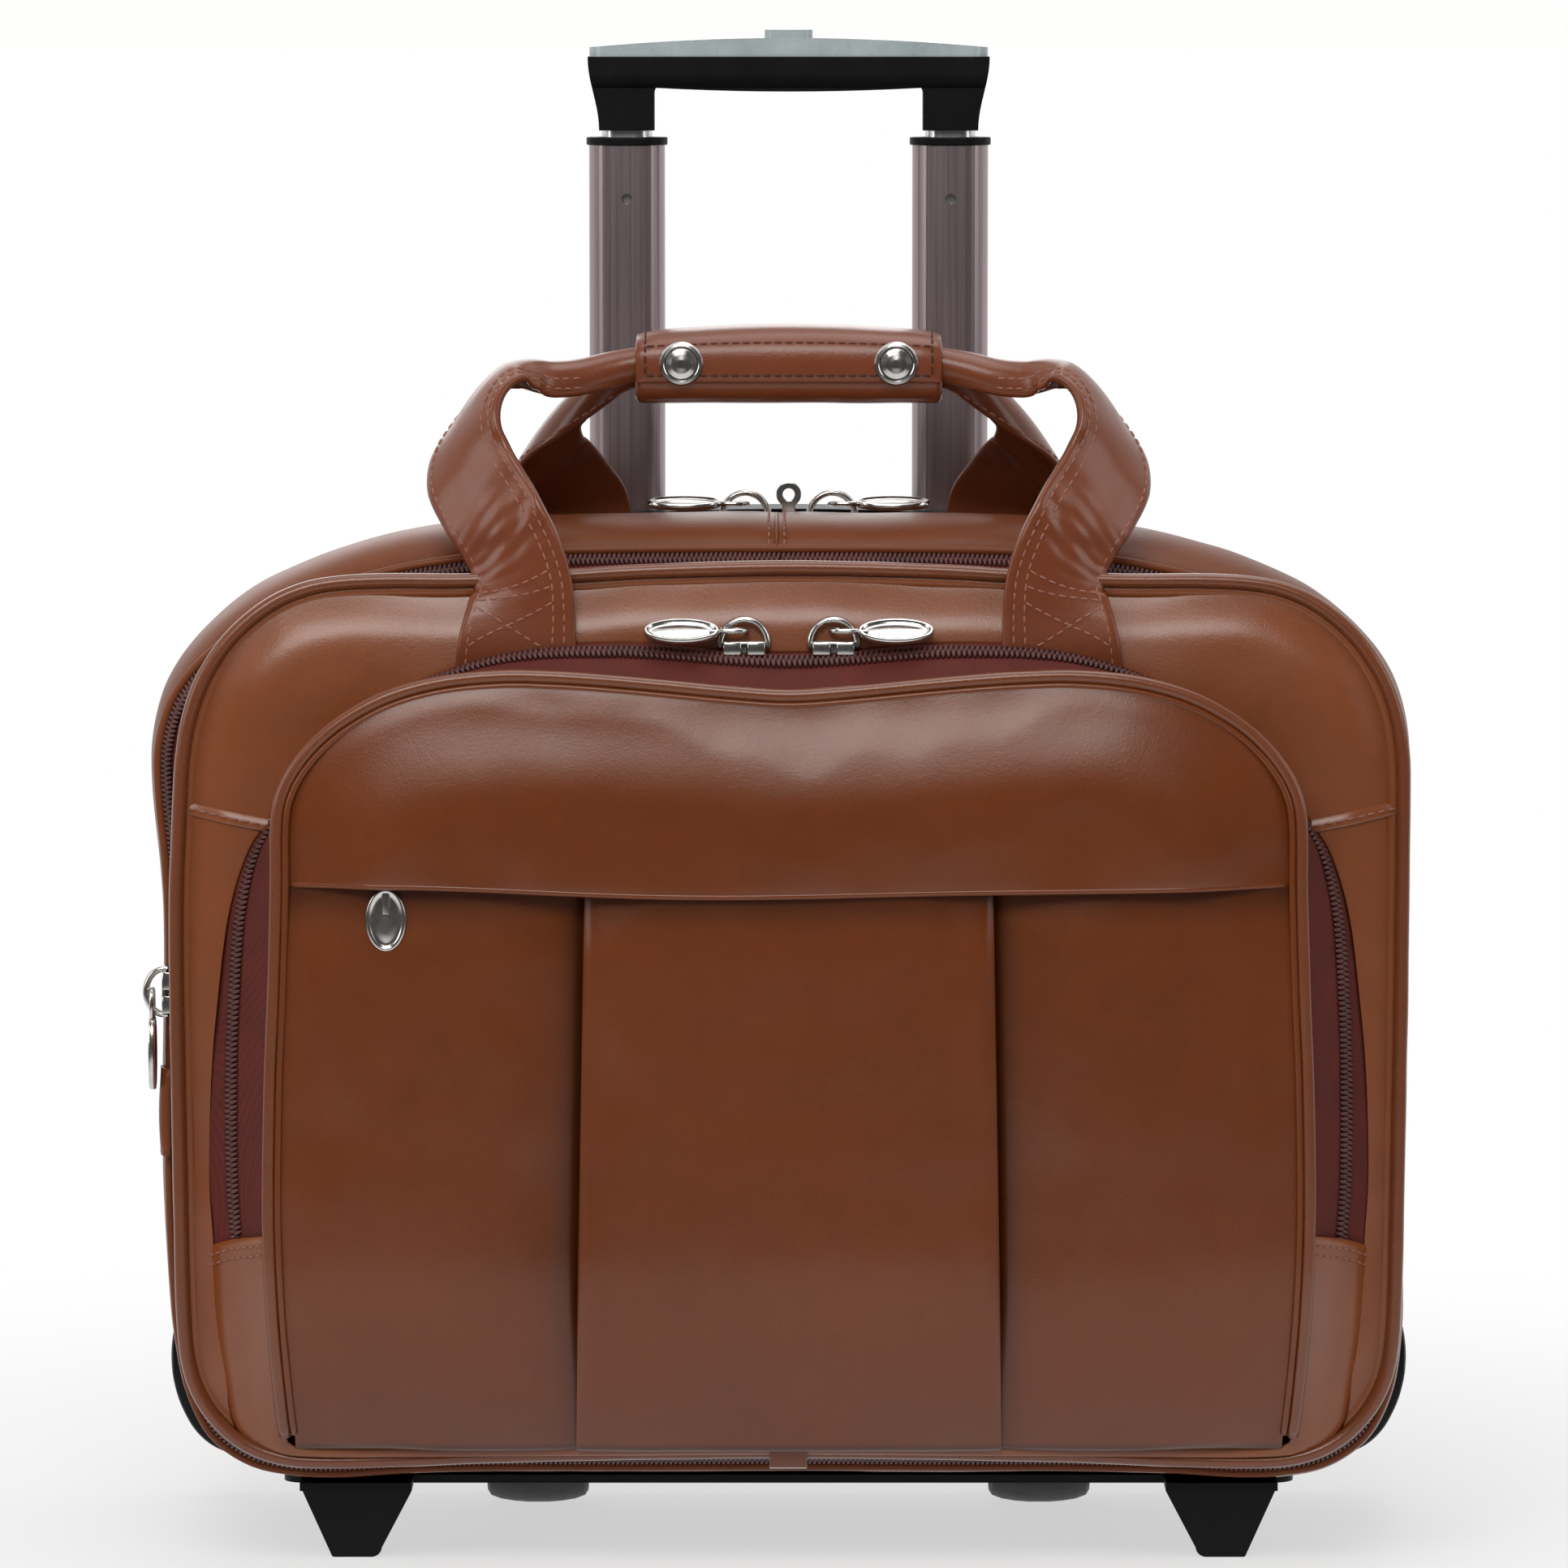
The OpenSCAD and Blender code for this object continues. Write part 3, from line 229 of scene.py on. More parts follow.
def loft_faces(rows, n, closed_ring=True, closed_rows=False):
    f = []
    for i in range(rows if closed_rows else rows - 1):
        a, b = i * n, ((i + 1) % rows) * n
        for j in range(n if closed_ring else n - 1):
            k = (j + 1) % n
            f.append((a + j, a + k, b + k, b + j))
    return f


def flipped(faces):
    return [tuple(reversed(q)) for q in faces]


def solid(rows, closed_ring=True):
    """Loft with both ends closed."""
    n = len(rows[0])
    ends = [tuple(reversed(range(n))), tuple((len(rows) - 1) * n + j for j in range(n))]
    return np.vstack(rows), loft_faces(len(rows), n, closed_ring) + ends


def tube(path, radius, up=(0, 1, 0), sides=10, closed=False, squeeze=1.0):
    """Tube along a path; squeeze scales it in the direction of up."""
    p = np.asarray(path, float)
    t = tangents(p, closed)
    a = unit(np.cross(t, up))
    b = np.cross(a, t)
    r = np.broadcast_to(radius, len(p))[:, None]
    v = np.stack([p + a * r * math.cos(g) + b * r * squeeze * math.sin(g) for g in circle(sides)], 1)
    n, f = len(p), []
    for i in range(n if closed else n - 1):
        k = (i + 1) % n
        for j in range(sides):
            m = (j + 1) % sides
            f.append((i * sides + j, k * sides + j, k * sides + m, i * sides + m))
    if not closed:
        f += [tuple(range(sides)), tuple((n - 1) * sides + j for j in reversed(range(sides)))]
    return v.reshape(-1, 3), f


def join(parts):
    vs, fs, base = [], [], 0
    for v, f in parts:
        vs.append(np.asarray(v, float))
        fs += [tuple(i + base for i in q) for q in f]
        base += len(v)
    return np.vstack(vs), fs


COIL_SIDES, COIL_SLANT = circle(6), 0.55
# Rings of one loop of a coil: how far across, how far up and how thick, as shares
COIL_RINGS = ((-0.55, -0.35, 0.45), (0.2, 0.25, 1.0), (0.62, 0.3, 1.05), (1.0, -0.35, 0.55))


def coil(path, across, normal, side, pitch=1.75, reach=3.1, radius=0.78, closed=False):
    """One row of a coil chain: slanted loops on one side of the path."""
    s = run_length(looped(path, closed))
    count = int(s[-1] / pitch)
    want = (np.arange(count) + (0.5 if side > 0 else 1.0)) * s[-1] / count
    want = want[want < s[-1]]

    def at(values):
        return sample(want, s, looped(np.broadcast_to(np.asarray(values, float), path.shape), closed))

    loops = []
    for c, t, a, n in zip(at(path), at(tangents(path, closed)), at(across) * side, at(normal)):
        rows = []
        for along, rise, thick in COIL_RINGS:
            o = c + a * (reach * along) + t * (COIL_SLANT * (along - 0.3)) + n * (radius * rise)
            r = radius * thick
            rows.append([o + t * (r * math.cos(g)) + n * (r * math.sin(g)) for g in COIL_SIDES])
        loops.append(solid(rows))
    return join(loops)


# Objects


def modifier(ob, kind, **values):
    m = ob.modifiers.new(kind.lower(), kind)
    for k, v in values.items():
        setattr(m, k, v)
    return m


def bake(ob):
    """Turns the object's modifiers into its mesh."""
    bpy.context.view_layer.update()
    dg = bpy.context.evaluated_depsgraph_get()
    me = bpy.data.meshes.new_from_object(ob.evaluated_get(dg))
    old = ob.data
    ob.modifiers.clear()
    ob.data = me
    bpy.data.meshes.remove(old)


def add(name, shape, mats, body=None, face_mat=None):
    verts, faces = shape
    me = bpy.data.meshes.new(name)
    me.from_pydata((np.asarray(verts, float) * MM).tolist(), [], [list(map(int, f)) for f in faces])
    ob = bpy.data.objects.new(name, me)
    scene.collection.objects.link(ob)
    for m in mats if isinstance(mats, list) else [mats]:
        me.materials.append(m)
    if face_mat is not None:
        me.polygons.foreach_set("material_index", np.asarray(face_mat, np.int32))
    me.polygons.foreach_set("use_smooth", np.ones(len(me.polygons), bool))
    me.update()
    if body:
        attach(ob, body)
    return ob


def loft(name, rings, mats, body=None, closed_ring=False, closed_rows=False):
    faces = loft_faces(len(rings), len(rings[0]), closed_ring, closed_rows)
    return add(name, (np.vstack(rings), faces), mats, body)


def primitive(name, make, **values):
    """Object from one of the basic shapes of bmesh."""
    me = bpy.data.meshes.new(name)
    bm = bmesh.new()
    make(bm, **values)
    bm.to_mesh(me)
    bm.free()
    ob = bpy.data.objects.new(name, me)
    scene.collection.objects.link(ob)
    return ob


def box_cut(ob, lo, hi):
    cutter = primitive("cut", bmesh.ops.create_cube, size=1.0)
    for vert in cutter.data.vertices:
        vert.co = Vector([(a + b) / 2 + c * (b - a) for a, b, c in zip(lo, hi, vert.co)]) * MM
    modifier(ob, "BOOLEAN", operation="DIFFERENCE", solver="EXACT", object=cutter)
    bake(ob)
    bpy.data.objects.remove(cutter)


def shade(ob, values):
    """Paints shade into the leather: darkens it at each point by the value given, where seams, folds and
    overlapping parts shade it.
    """
    at = ob.data.attributes.new("painted_shade", "FLOAT", "POINT")
    at.data.foreach_set("value", np.ravel(values).astype(np.float32))


CLOTH = {"quality": 6, "mass": 0.3, "tension_stiffness": 22.0, "compression_stiffness": 22.0,
         "shear_stiffness": 8.0,
         "bending_stiffness": 25.0, "air_damping": 4.0, "vertex_group_mass": "pin", "use_pressure": True}
CLOTH_FRAMES, CLOTH_SMOOTHING = 18, 60


def settle(ob, pinned, push, cap, grow):
    """Swells a sewn piece as cloth under pressure, held at its seams, and keeps the settled shape."""
    me = ob.data
    start, moved = np.zeros((2, len(me.vertices) * 3), np.float32)
    me.vertices.foreach_get("co", start)
    group = ob.vertex_groups.new(name="pin")
    group.add([int(i) for i in np.where(pinned)[0]], 1.0, "REPLACE")
    m = modifier(ob, "CLOTH")
    for k, v in {**CLOTH, "uniform_pressure_force": push, "shrink_min": -grow}.items():
        setattr(m.settings, k, v)
    m.settings.effector_weights.gravity = 0.0
    m.point_cache.frame_start, m.point_cache.frame_end = 1, CLOTH_FRAMES
    for k in range(1, CLOTH_FRAMES + 1):
        scene.frame_set(k)
    ob.evaluated_get(bpy.context.evaluated_depsgraph_get()).data.vertices.foreach_get("co", moved)
    step = (moved - start).reshape(-1, 3)
    # The movement is smoothed, which takes out the cloth's fine wrinkles, and capped
    edges = np.zeros(len(me.edges) * 2, np.int64)
    me.edges.foreach_get("vertices", edges)
    a, b = edges.reshape(-1, 2).T
    count = np.bincount(edges, minlength=len(step))[:, None]
    for _ in range(CLOTH_SMOOTHING):
        total = np.zeros(step.shape)
        np.add.at(total, a, step[b])
        np.add.at(total, b, step[a])
        step = np.where(pinned[:, None], 0.0, (step + total / count) / 2)
    far = np.linalg.norm(step, axis=1)[:, None]
    step *= np.minimum(1.0, cap * MM / np.maximum(far, 1e-9))
    me.vertices.foreach_set("co", (start.reshape(-1, 3) + step).ravel())
    me.update()
    ob.modifiers.remove(m)
    ob.vertex_groups.remove(group)
    scene.frame_set(1)


def surface(name, grid, mats, body=None, out=(0, -1, 0), thick=0.0, closed=False, fine=0, pin=None, push=None,
            painted_shade=None, cap=False):
    """Sheet over a grid of points, turned to face out; pin and push make it settle as cloth first."""
    grid = np.asarray(grid, float)
    rows, cols = grid.shape[:2]
    v = grid.reshape(-1, 3)
    f = np.array(loft_faces(rows, cols, closed))
    n = np.cross(v[f[:, 1]] - v[f[:, 0]], v[f[:, 2]] - v[f[:, 0]])
    ref = v[f].mean(1) - v.mean(0) if out is None else np.asarray(out, float)
    faces = [tuple(q) for q in f]
    if cap:
        faces.append(tuple(range((rows - 1) * cols, rows * cols)))
    ob = add(name, (v, flipped(faces) if (n * ref).sum() < 0 else faces), mats)
    if push:
        settle(ob, np.ravel(pin), *push)
    # Painted shade, kept as a point attribute that the leather darkens by
    if painted_shade is not None:
        shade(ob, painted_shade)
    if thick:
        modifier(ob, "SOLIDIFY", thickness=thick * MM, offset=-1.0,
                 material_offset=int(isinstance(mats, list)))
    if fine:
        modifier(ob, "SUBSURF", levels=fine, render_levels=fine)
    if thick or fine:
        bake(ob)
    if body:
        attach(ob, body)
    return ob


STITCH_PITCH, STITCH_LONG, STITCH_HALF, STITCH_HIGH, STITCH_SINK = 3.8, 2.8, 0.4, 0.55, 0.1
STITCH_ARCH = np.radians([0, 60, 120, 180])
# Sections of one stitch: how far along and how thick, as shares
STITCH_ROWS = ((-0.5, 0.35), (-0.32, 1.0), (0.32, 1.0), (0.5, 0.35))


def stitches(name, runs, mat, body=None):
    """Raised stitches along paths, each path with the direction that its stitches stand up in."""
    parts = []
    for path, normal in runs:
        s = run_length(path)
        count = max(1, int(s[-1] / STITCH_PITCH))
        mid = (np.arange(count) + 0.5) * s[-1] / count
        ups = unit(sample(mid, s, np.broadcast_to(np.asarray(normal, float), path.shape)))
        chord = sample(mid + STITCH_LONG / 2, s, path) - sample(mid - STITCH_LONG / 2, s, path)
        for c, t, n in zip(sample(mid, s, path), unit(chord), ups):
            w = np.cross(t, n)
            rows = []
            for along, k in STITCH_ROWS:
                o = c + t * STITCH_LONG * along - n * STITCH_SINK
                rows.append([o + w * (STITCH_HALF * k * math.cos(g)) + n * (STITCH_HIGH * k * math.sin(g))
                             for g in STITCH_ARCH])
            parts.append(solid(rows, False))
    return add(name, join(parts), mat, body)


# Materials


class Tree:
    """Adds nodes to a tree; their inputs are values or the outputs of other nodes."""

    def __init__(self, tree):
        self.t = tree

    def new(self, kind, inputs=None, **props):
        n = self.t.nodes.new(kind)
        for k, v in props.items():
            setattr(n, k, v)
        for k, v in (inputs or {}).items():
            if isinstance(v, bpy.types.NodeSocket):
                self.t.links.new(v, n.inputs[k])
            else:
                n.inputs[k].default_value = v
        return n

    def math(self, op, *values):
        return self.new("ShaderNodeMath", dict(enumerate(values)), operation=op).outputs[0]

    def span(self, value, low, high=1.0):
        return self.new("ShaderNodeMapRange", {"Value": value, "To Min": low, "To Max": high}).outputs[0]

    def ease(self, value, start, end, low=0.0):
        ins = {"Value": value, "From Min": start, "From Max": end, "To Min": low}
        return self.new("ShaderNodeMapRange", ins, interpolation_type="SMOOTHSTEP").outputs[0]

    def rays(self):
        """Whether a ray is glossy, and whether it comes from the camera or through glass."""
        path = self.new("ShaderNodeLightPath").outputs
        return path["Is Glossy Ray"], self.math("MAXIMUM", path["Is Camera Ray"], path["Is Transmission Ray"])


class Mat(Tree):
    """One Principled material."""

    def __init__(self, name, **sockets):
        self.m = bpy.data.materials.new(name)
        self.m.use_nodes = True
        super().__init__(self.m.node_tree)
        self.b = self.t.nodes["Principled BSDF"].inputs
        for k, v in sockets.items():
            self.b[k.replace("_", " ")].default_value = v
        self.c = self.new("ShaderNodeTexCoord").outputs["Object"]

    def space(self, scale):
        return self.new("ShaderNodeMapping", {"Vector": self.c, "Scale": scale}).outputs["Vector"]

    def noise(self, scale, detail, rough=0.6, vector=None, distort=0.0):
        return self.new("ShaderNodeTexNoise", {"Vector": vector or self.c, "Scale": scale, "Detail": detail,
                                               "Roughness": rough, "Distortion": distort}).outputs["Fac"]

    def cells(self, scale):
        return self.new("ShaderNodeTexVoronoi", {"Vector": self.c, "Scale": scale}).outputs["Distance"]

    def wave(self, scale, pitch, bands):
        return self.new("ShaderNodeTexWave", {"Vector": self.space(scale), "Scale": pitch, "Distortion": 0.6},
                        bands_direction=bands).outputs["Fac"]

    def ramp(self, value, stops):
        n = self.new("ShaderNodeValToRGB", {"Fac": value})
        while len(n.color_ramp.elements) < len(stops):
            n.color_ramp.elements.new(0.5)
        for e, (place, colour) in zip(n.color_ramp.elements, stops):
            e.position, e.color = place, (*colour, 1.0)
        return n.outputs["Color"]

    def mix(self, share, a, b):
        return self.new("ShaderNodeMix", {0: share, 6: a, 7: (*b, 1.0)}, data_type="RGBA").outputs[2]

    def blend(self, a, b, share):
        return self.math("ADD", self.math("MULTIPLY", a, share), self.math("MULTIPLY", b, 1 - share))

    def set(self, name, output):
        self.t.links.new(output, self.b[name])

    def bump(self, height, strength, distance, under=None):
        ins = {"Height": height, "Strength": strength, "Distance": distance}
        n = self.new("ShaderNodeBump", ins if under is None else {**ins, "Normal": under})
        self.set("Normal", n.outputs["Normal"])
        return n.outputs["Normal"]


def tint(tone, *factors):
    return tuple(min(1.0, c * k) for c, k in zip(tone, factors * (3 // len(factors))))


def leather(name, tone, rough, coat, grain=1.0, shine=0.4):
    k = Mat(name, Coat_Weight=coat, Coat_Roughness=0.24, Specular_IOR_Level=shine)
    both = k.blend(k.noise(9.0, 4.0, distort=0.6), k.noise(95.0, 5.0, 0.65), 0.6)
    base = k.ramp(both, [(0.3, tint(tone, 0.86)), (0.5, tone), (0.72, tint(tone, 1.12, 1.15, 1.2))])
    pores = k.cells(1150.0)
    base = k.mix(k.span(pores, 0.12, 0.0), base, tint(tone, 0.4))
    # Painted shade: darker where the piece's point attribute says, in seams, folds and under the flap
    painted_shade = k.new("ShaderNodeAttribute", attribute_name="painted_shade").outputs["Fac"]
    base = k.mix(k.math("MULTIPLY", painted_shade, 0.8), base, tint(tone, 0.12))
    # Paler on sharp convex edges
    edge = k.new("ShaderNodeNewGeometry").outputs["Pointiness"]
    edge_pale = k.ramp(edge, [(0.5, (0, 0, 0)), (0.62, (1, 1, 1))])
    k.set("Base Color", k.mix(k.math("MULTIPLY", edge_pale, 0.18), base, tint(tone, 1.6)))
    k.set("Roughness", k.span(k.noise(60.0, 4.0), *rough))
    creases = k.bump(k.noise(150.0, 6.0, 0.62, distort=1.4), 0.08 * grain, 0.0012)
    k.bump(k.noise(3200.0, 2.0, 0.5), 0.06, 0.0002, k.bump(pores, 0.12 * grain, 0.0003, creases))
    return k.m


def woven(name, dark, light, pitch=1500.0, rough=0.75):
    k = Mat(name, Specular_IOR_Level=0.25)
    threads = k.math("MULTIPLY", k.wave((1, 1, 0.05), pitch, "DIAGONAL"),
                     k.wave((0.05, 0.4, 1), pitch * 0.8, "Z"))
    blot = k.noise(70.0, 4.0)
    k.set("Base Color", k.ramp(k.blend(threads, blot, 0.45), [(0.15, dark), (0.75, light)]))
    k.set("Roughness", k.span(blot, rough - 0.12, rough + 0.1))
    k.bump(threads, 0.35, 0.0003)
    return k.m


def metal(name, low, high, rough, stretch=(1, 1, 1), streak=240.0, metallic=1.0):
    k = Mat(name, Metallic=metallic)
    smudge = k.noise(streak, 5.0, vector=k.space(stretch))
    k.set("Base Color", k.ramp(smudge, [(0.3, low), (0.7, high)]))
    k.set("Roughness", k.span(smudge, *rough))
    k.bump(k.noise(streak * 5, 3.0, vector=k.space(stretch)), 0.03, 0.0002)
    return k.m


def plastic(name, low, high, rough=(0.38, 0.55), grain=1700.0, bump=0.18, coat=0.0, shine=0.5):
    k = Mat(name, Coat_Weight=coat, Coat_Roughness=0.12, Specular_IOR_Level=shine)
    k.set("Base Color", k.ramp(k.noise(55.0, 5.0, 0.65), [(0.3, low), (0.75, high)]))
    k.set("Roughness", k.span(k.noise(210.0, 4.0), *rough))
    k.bump(k.cells(grain), bump, 0.0002)
    return k.m


# The pocket's leather is the side leather in a darker tone, as painted shade for its front-facing panels; its
# tab and binding share it
LEATHER_POCKET_SHADED = leather("leather_pocket_shaded", (0.134, 0.0285, 0.0035), (0.26, 0.38), 0.38, 1.0, 0.28)
LEATHER_SIDE = leather("leather_side", (0.195, 0.051, 0.0125), (0.27, 0.4), 0.36)
LEATHER_ROLL = leather("leather_roll", (0.155, 0.042, 0.014), (0.34, 0.46), 0.06, 1.0, 0.15)
LEATHER_STRAP = leather("leather_strap", (0.158, 0.038, 0.0125), (0.26, 0.4), 0.32, 1.2, 0.3)
PIPING = leather("leather_piping", (0.145, 0.039, 0.013), (0.22, 0.34), 0.35, 0.7, 0.35)
TAPE = woven("zip_tape", (0.066, 0.0108, 0.0076), (0.138, 0.0228, 0.0158))
SLEEVE = woven("gusset_cloth", (0.05, 0.013, 0.0105), (0.10, 0.028, 0.022), 900.0)
LINING = woven("lining_cloth", (0.085, 0.045, 0.026), (0.155, 0.088, 0.054), 1100.0, 0.8)
COIL = plastic("zip_coil", (0.05, 0.0125, 0.0105), (0.095, 0.025, 0.021), (0.36, 0.5), 2600.0, 0.05)
THREAD = woven("thread", (0.23, 0.09, 0.06), (0.39, 0.17, 0.12), 2600.0, 0.6)
# The wrap's stitches use the thread in a dark tone, as painted shade for their stitch holes
THREAD_SHADED = woven("thread_shaded", (0.045, 0.014, 0.01), (0.085, 0.027, 0.02), 2600.0, 0.6)
NICKEL = metal("nickel", (0.52, 0.505, 0.48), (0.66, 0.645, 0.62), (0.12, 0.26))
BLACK = plastic("black_plastic", (0.0015, 0.0016, 0.0022), (0.004, 0.0043, 0.0055), shine=0.14)
TYRE = plastic("rubber_tyre", (0.012, 0.012, 0.013), (0.03, 0.03, 0.032), (0.6, 0.8), 900.0, 0.25)
TUBE = metal("anodised_tube", (0.27, 0.215, 0.226), (0.36, 0.296, 0.308), (0.26, 0.4), (60, 60, 0.5), 14.0,
             0.9)
INNER = metal("bright_tube", (0.62, 0.61, 0.61), (0.75, 0.74, 0.74), (0.2, 0.32), (60, 60, 0.5), 14.0)
CAP = plastic("grip_cap", (0.27, 0.32, 0.33), (0.40, 0.455, 0.465), (0.22, 0.36), 1900.0, 0.06, 0.4)
GREY = plastic("grey_plastic", (0.05, 0.05, 0.052), (0.085, 0.085, 0.088))

N = 360
mid_o = outline(MID, N, -2.8)
midf_o = mid_o.inset(2.6 + 8.0 * np.clip(mid_o.n[:, 1], 0, 1) ** 1.5 + 1.6 * np.clip(-mid_o.n[:, 1], 0, 1))
rear_o = outline(REAR, N)
front_o = outline(FRONT, N, 1.6, 230.0)
pocket_o, chain_o, base_o = (outline(half, N) for half in (POCKET, CHAIN, BASE))


def row(i):
    return slice(i * N, (i + 1) * N)


def piping(name, path, radius, body=None, mat=PIPING, closed=True):
    return add(name, tube(path, radius * (1 + wavy(path, 0.045, 0.06, 3.0)), sides=12, closed=closed), mat,
               body)


# Mid section: a padded roll with a seam over the middle of its top

ROLL_SEAM_X, ROLL_SEAM_LOW = -4.4, 340
# Rows of the roll: share of the drawn-in front outline, depth, offset from the outline
ROLL_ROWS = [(1.0, -41.0, -3.2), (1.0, -41.3, -1.2), (0.93, -40.4, -0.1), (0.74, -37.6, 0.3),
             (0.46, -32.5, 0.6), (0.2, -25, 0.6), (0.04, -16, 0.3), (0.0, -6, 0.1), (0.0, 3, -0.5),
             (0.0, 8.5, -1.5), (0.0, 11.8, -3.0), (0.0, 13.1, -4.8), (0.0, 12.8, -7.5)]
rings = [between(mid_o.ring(off, y), midf_o.ring(off, y), k) for k, y, off in ROLL_ROWS]
inside = [mid_o.ring(-11.5, y) for y in (10, -10, -30, -39)]
last = len(rings) - 1
mid_v = np.vstack(rings + inside)
puff = wavy(mid_v, 0.02, 0.8, 5.0) + wavy(mid_v, 0.07, 0.25, 9.0)
for i in range(last + 1):
    ring, w = mid_v[row(i)], math.sin(math.pi * i / last)
    ring[:, ::2] += mid_o.n * puff[row(i), None] * w
    ring[:, 2] -= bell(ring[:, 0], ROLL_SEAM_X, 2.6) * (ring[:, 2] > ROLL_SEAM_LOW) * 0.9 * w
faces = loft_faces(len(rings + inside), N, True, True)
mid_roll = add("mid_roll", (mid_v, faces), [LEATHER_ROLL, LINING],
               face_mat=np.repeat([0] * len(rings) + [1] * len(inside), N))
held = np.ones(len(mid_v), bool)
held[3 * N:(last - 2) * N] = False
held |= (np.abs(mid_v[:, 0] - ROLL_SEAM_X) < 2.5) & (mid_v[:, 2] > ROLL_SEAM_LOW)
settle(mid_roll, held, 3.0, 1.2, 0.01)
# Painted shade along the roll's edges, where it turns in beside its piping
roll_edge_shade = np.zeros(len(mid_v))
for i, amount in ((0, 1.0), (1, 0.7), (2, 0.25), (last - 1, 0.5), (last, 1.0)):
    roll_edge_shade[row(i)] = amount
shade(mid_roll, roll_edge_shade)
modifier(mid_roll, "SUBSURF", levels=1, render_levels=1)
bake(mid_roll)
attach(mid_roll, "mid_section")
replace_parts(mid_roll, "mid_gusset")
piping("mid_front_piping", midf_o.ring(-0.6, -41.2), 1.7, "mid_section", LEATHER_ROLL)
piping("mid_rear_piping", mid_o.ring(-4.2, 13.0), 1.5, "mid_section", LEATHER_ROLL)

top = [(ROLL_SEAM_X, y, z) for y, z in ((-41.2, 371.0), (-39.2, 374.6), (-34.5, 377.4), (-27, 379.9),
                                        (-18, 381.1), (-8, 381.3), (2, 380.7), (9, 379.3))]
path = resample(catmull(top, False, 8), 40)
up = facing(np.cross([1.0, 0, 0], tangents(path)), (0, 0, 1))
stitches("mid_seam_stitches", [(path + [dx, 0, 0] + up * 0.75, up) for dx in (-2.8, 2.8)], THREAD,
         "mid_section")
add("mid_seam_fold", tube(path - up * 0.1, 0.7, (1, 0, 0), 8), LEATHER_ROLL, "mid_section")

# Expansion zip and the gusset that it hides

centre = midf_o.ring(-3.6, -44.8)
nrm = unit(xyz(midf_o.n[:, 0], -0.75, midf_o.n[:, 1]))
across = unit(xyz(midf_o.n[:, 0] * 0.75, 1.0, midf_o.n[:, 1] * 0.75))
base = centre - nrm * 0.7
band = front_o.ring(-1.0, BAND_END - 2)
tapes = {"front": [between(base, band, t) for t in (1.0, 0.66, 0.33, 0.0)],
         "rear": [base + nrm * 0.02, between(base, midf_o.ring(-2.0, -41.2), 0.5), midf_o.ring(-2.0, -41.0)]}
for label, side, body in (("front", -1, "front_section"), ("rear", 1, "mid_section")):
    add(f"expansion_coil_{label}", coil(centre, across, nrm, side, closed=True), COIL, body)
    tape = loft(f"expansion_tape_{label}", tapes[label], TAPE, body, True)
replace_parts(tape, "expansion_zip")

offsets = [-2.0 - 0.8 * math.sin(i * 1.9) for i in range(19)]
rings = [front_o.ring(off, y) for off, y in zip(offsets, np.linspace(-63, 8, 19))]
lined = [r - xyz(front_o.n[:, 0], 0, front_o.n[:, 1]) for r in reversed(rings)]
gusset = loft("expansion_gusset_cloth", rings + lined, SLEEVE, "front_section", True, True)
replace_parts(gusset, "expansion_gusset")

# Front section


def slope(z):
    """How far the front section leans back towards its top."""
    return 6.5 * np.clip((np.asarray(z, float) - 318) / 46, 0, 1) ** 1.6


def front_ring(offset, y):
    r = front_o.ring(offset, y)
    r[:, 1] += slope(r[:, 2]) * np.clip((-50 - r[:, 1]) / 19, 0, 1)
    return r


def front_height(x, z):
    d = edge_distance(front_o, x, z)
    y = FRONT_Y + 1.4 - 4.6 * smooth((d - 1.0) / 20.0) + slope(z)
    y += ripple(x, z, 0.016, 0.022, 1.3, 7.0) * smooth(d / 14)
    return y + ripple(x, z, 0.05, 0.05, 0.3, 2.0) * smooth(d / 10)


band_rows = [(-6.0, -50), (-6.0, -60), (-6.0, -68.2), (-3.0, -69.0), (-0.6, -67.5), (0.3, -64), (0.6, -59),
             (0.5, -54), (0.0, BAND_END - 0.6), (-1.0, BAND_END + 0.4), (-5.5, BAND_END + 0.6)]
front_band = loft("front_band", [front_ring(o, y) for o, y in band_rows], LEATHER_SIDE, "front_section",
                  True, True)
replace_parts(front_band, "front_gusset")
piping("front_piping", front_ring(0.0, -69.8), 2.6, "front_section")

edge_o = front_o.inset(2.0)
inner = base_o.p.copy()
foot = front_o.p[front_o.p[:, 1] < 62]
foot = foot[np.argsort(foot[:, 0])]
above_foot = np.maximum(inner[:, 1], np.interp(inner[:, 0], *foot.T) + 3.4)
inner[:, 1] = np.where(inner[:, 1] < 58, above_foot, inner[:, 1])
shares = (0, 0.02, 0.05, 0.1, 0.16, 0.23, 0.31, 0.4, 0.5, 0.6, 0.7, 0.8, 0.89, 0.95, 0.985, 1.0)
gx, gz = np.moveaxis(np.array([between(edge_o.p, inner, t) for t in shares]), 2, 0)
gy = front_height(gx, gz)
gy[-1] += 0.3
pin = np.zeros(gx.shape, bool)
pin[:2] = pin[-4:] = True
# The front leather carries painted shade in the groove beside its piping
front_leather = surface("front_leather", xyz(gx, gy, gz), [LEATHER_SIDE, LINING], "front_section", thick=1.4,
                        closed=True, fine=1, pin=pin, push=(4.0, 1.6, 0.012),
                        painted_shade=bell(edge_distance(front_o, gx, gz), 2.3, 1.6) * 0.85)
gx, gz = discs(base_o.inset(-0.5), (0.0, 4, 9))
pocket_back = surface("pocket_back_lining", xyz(gx, -67.2, gz), LINING, "front_section", thick=1.2,
                      closed=True, cap=True)
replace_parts(pocket_back, "front_panel")

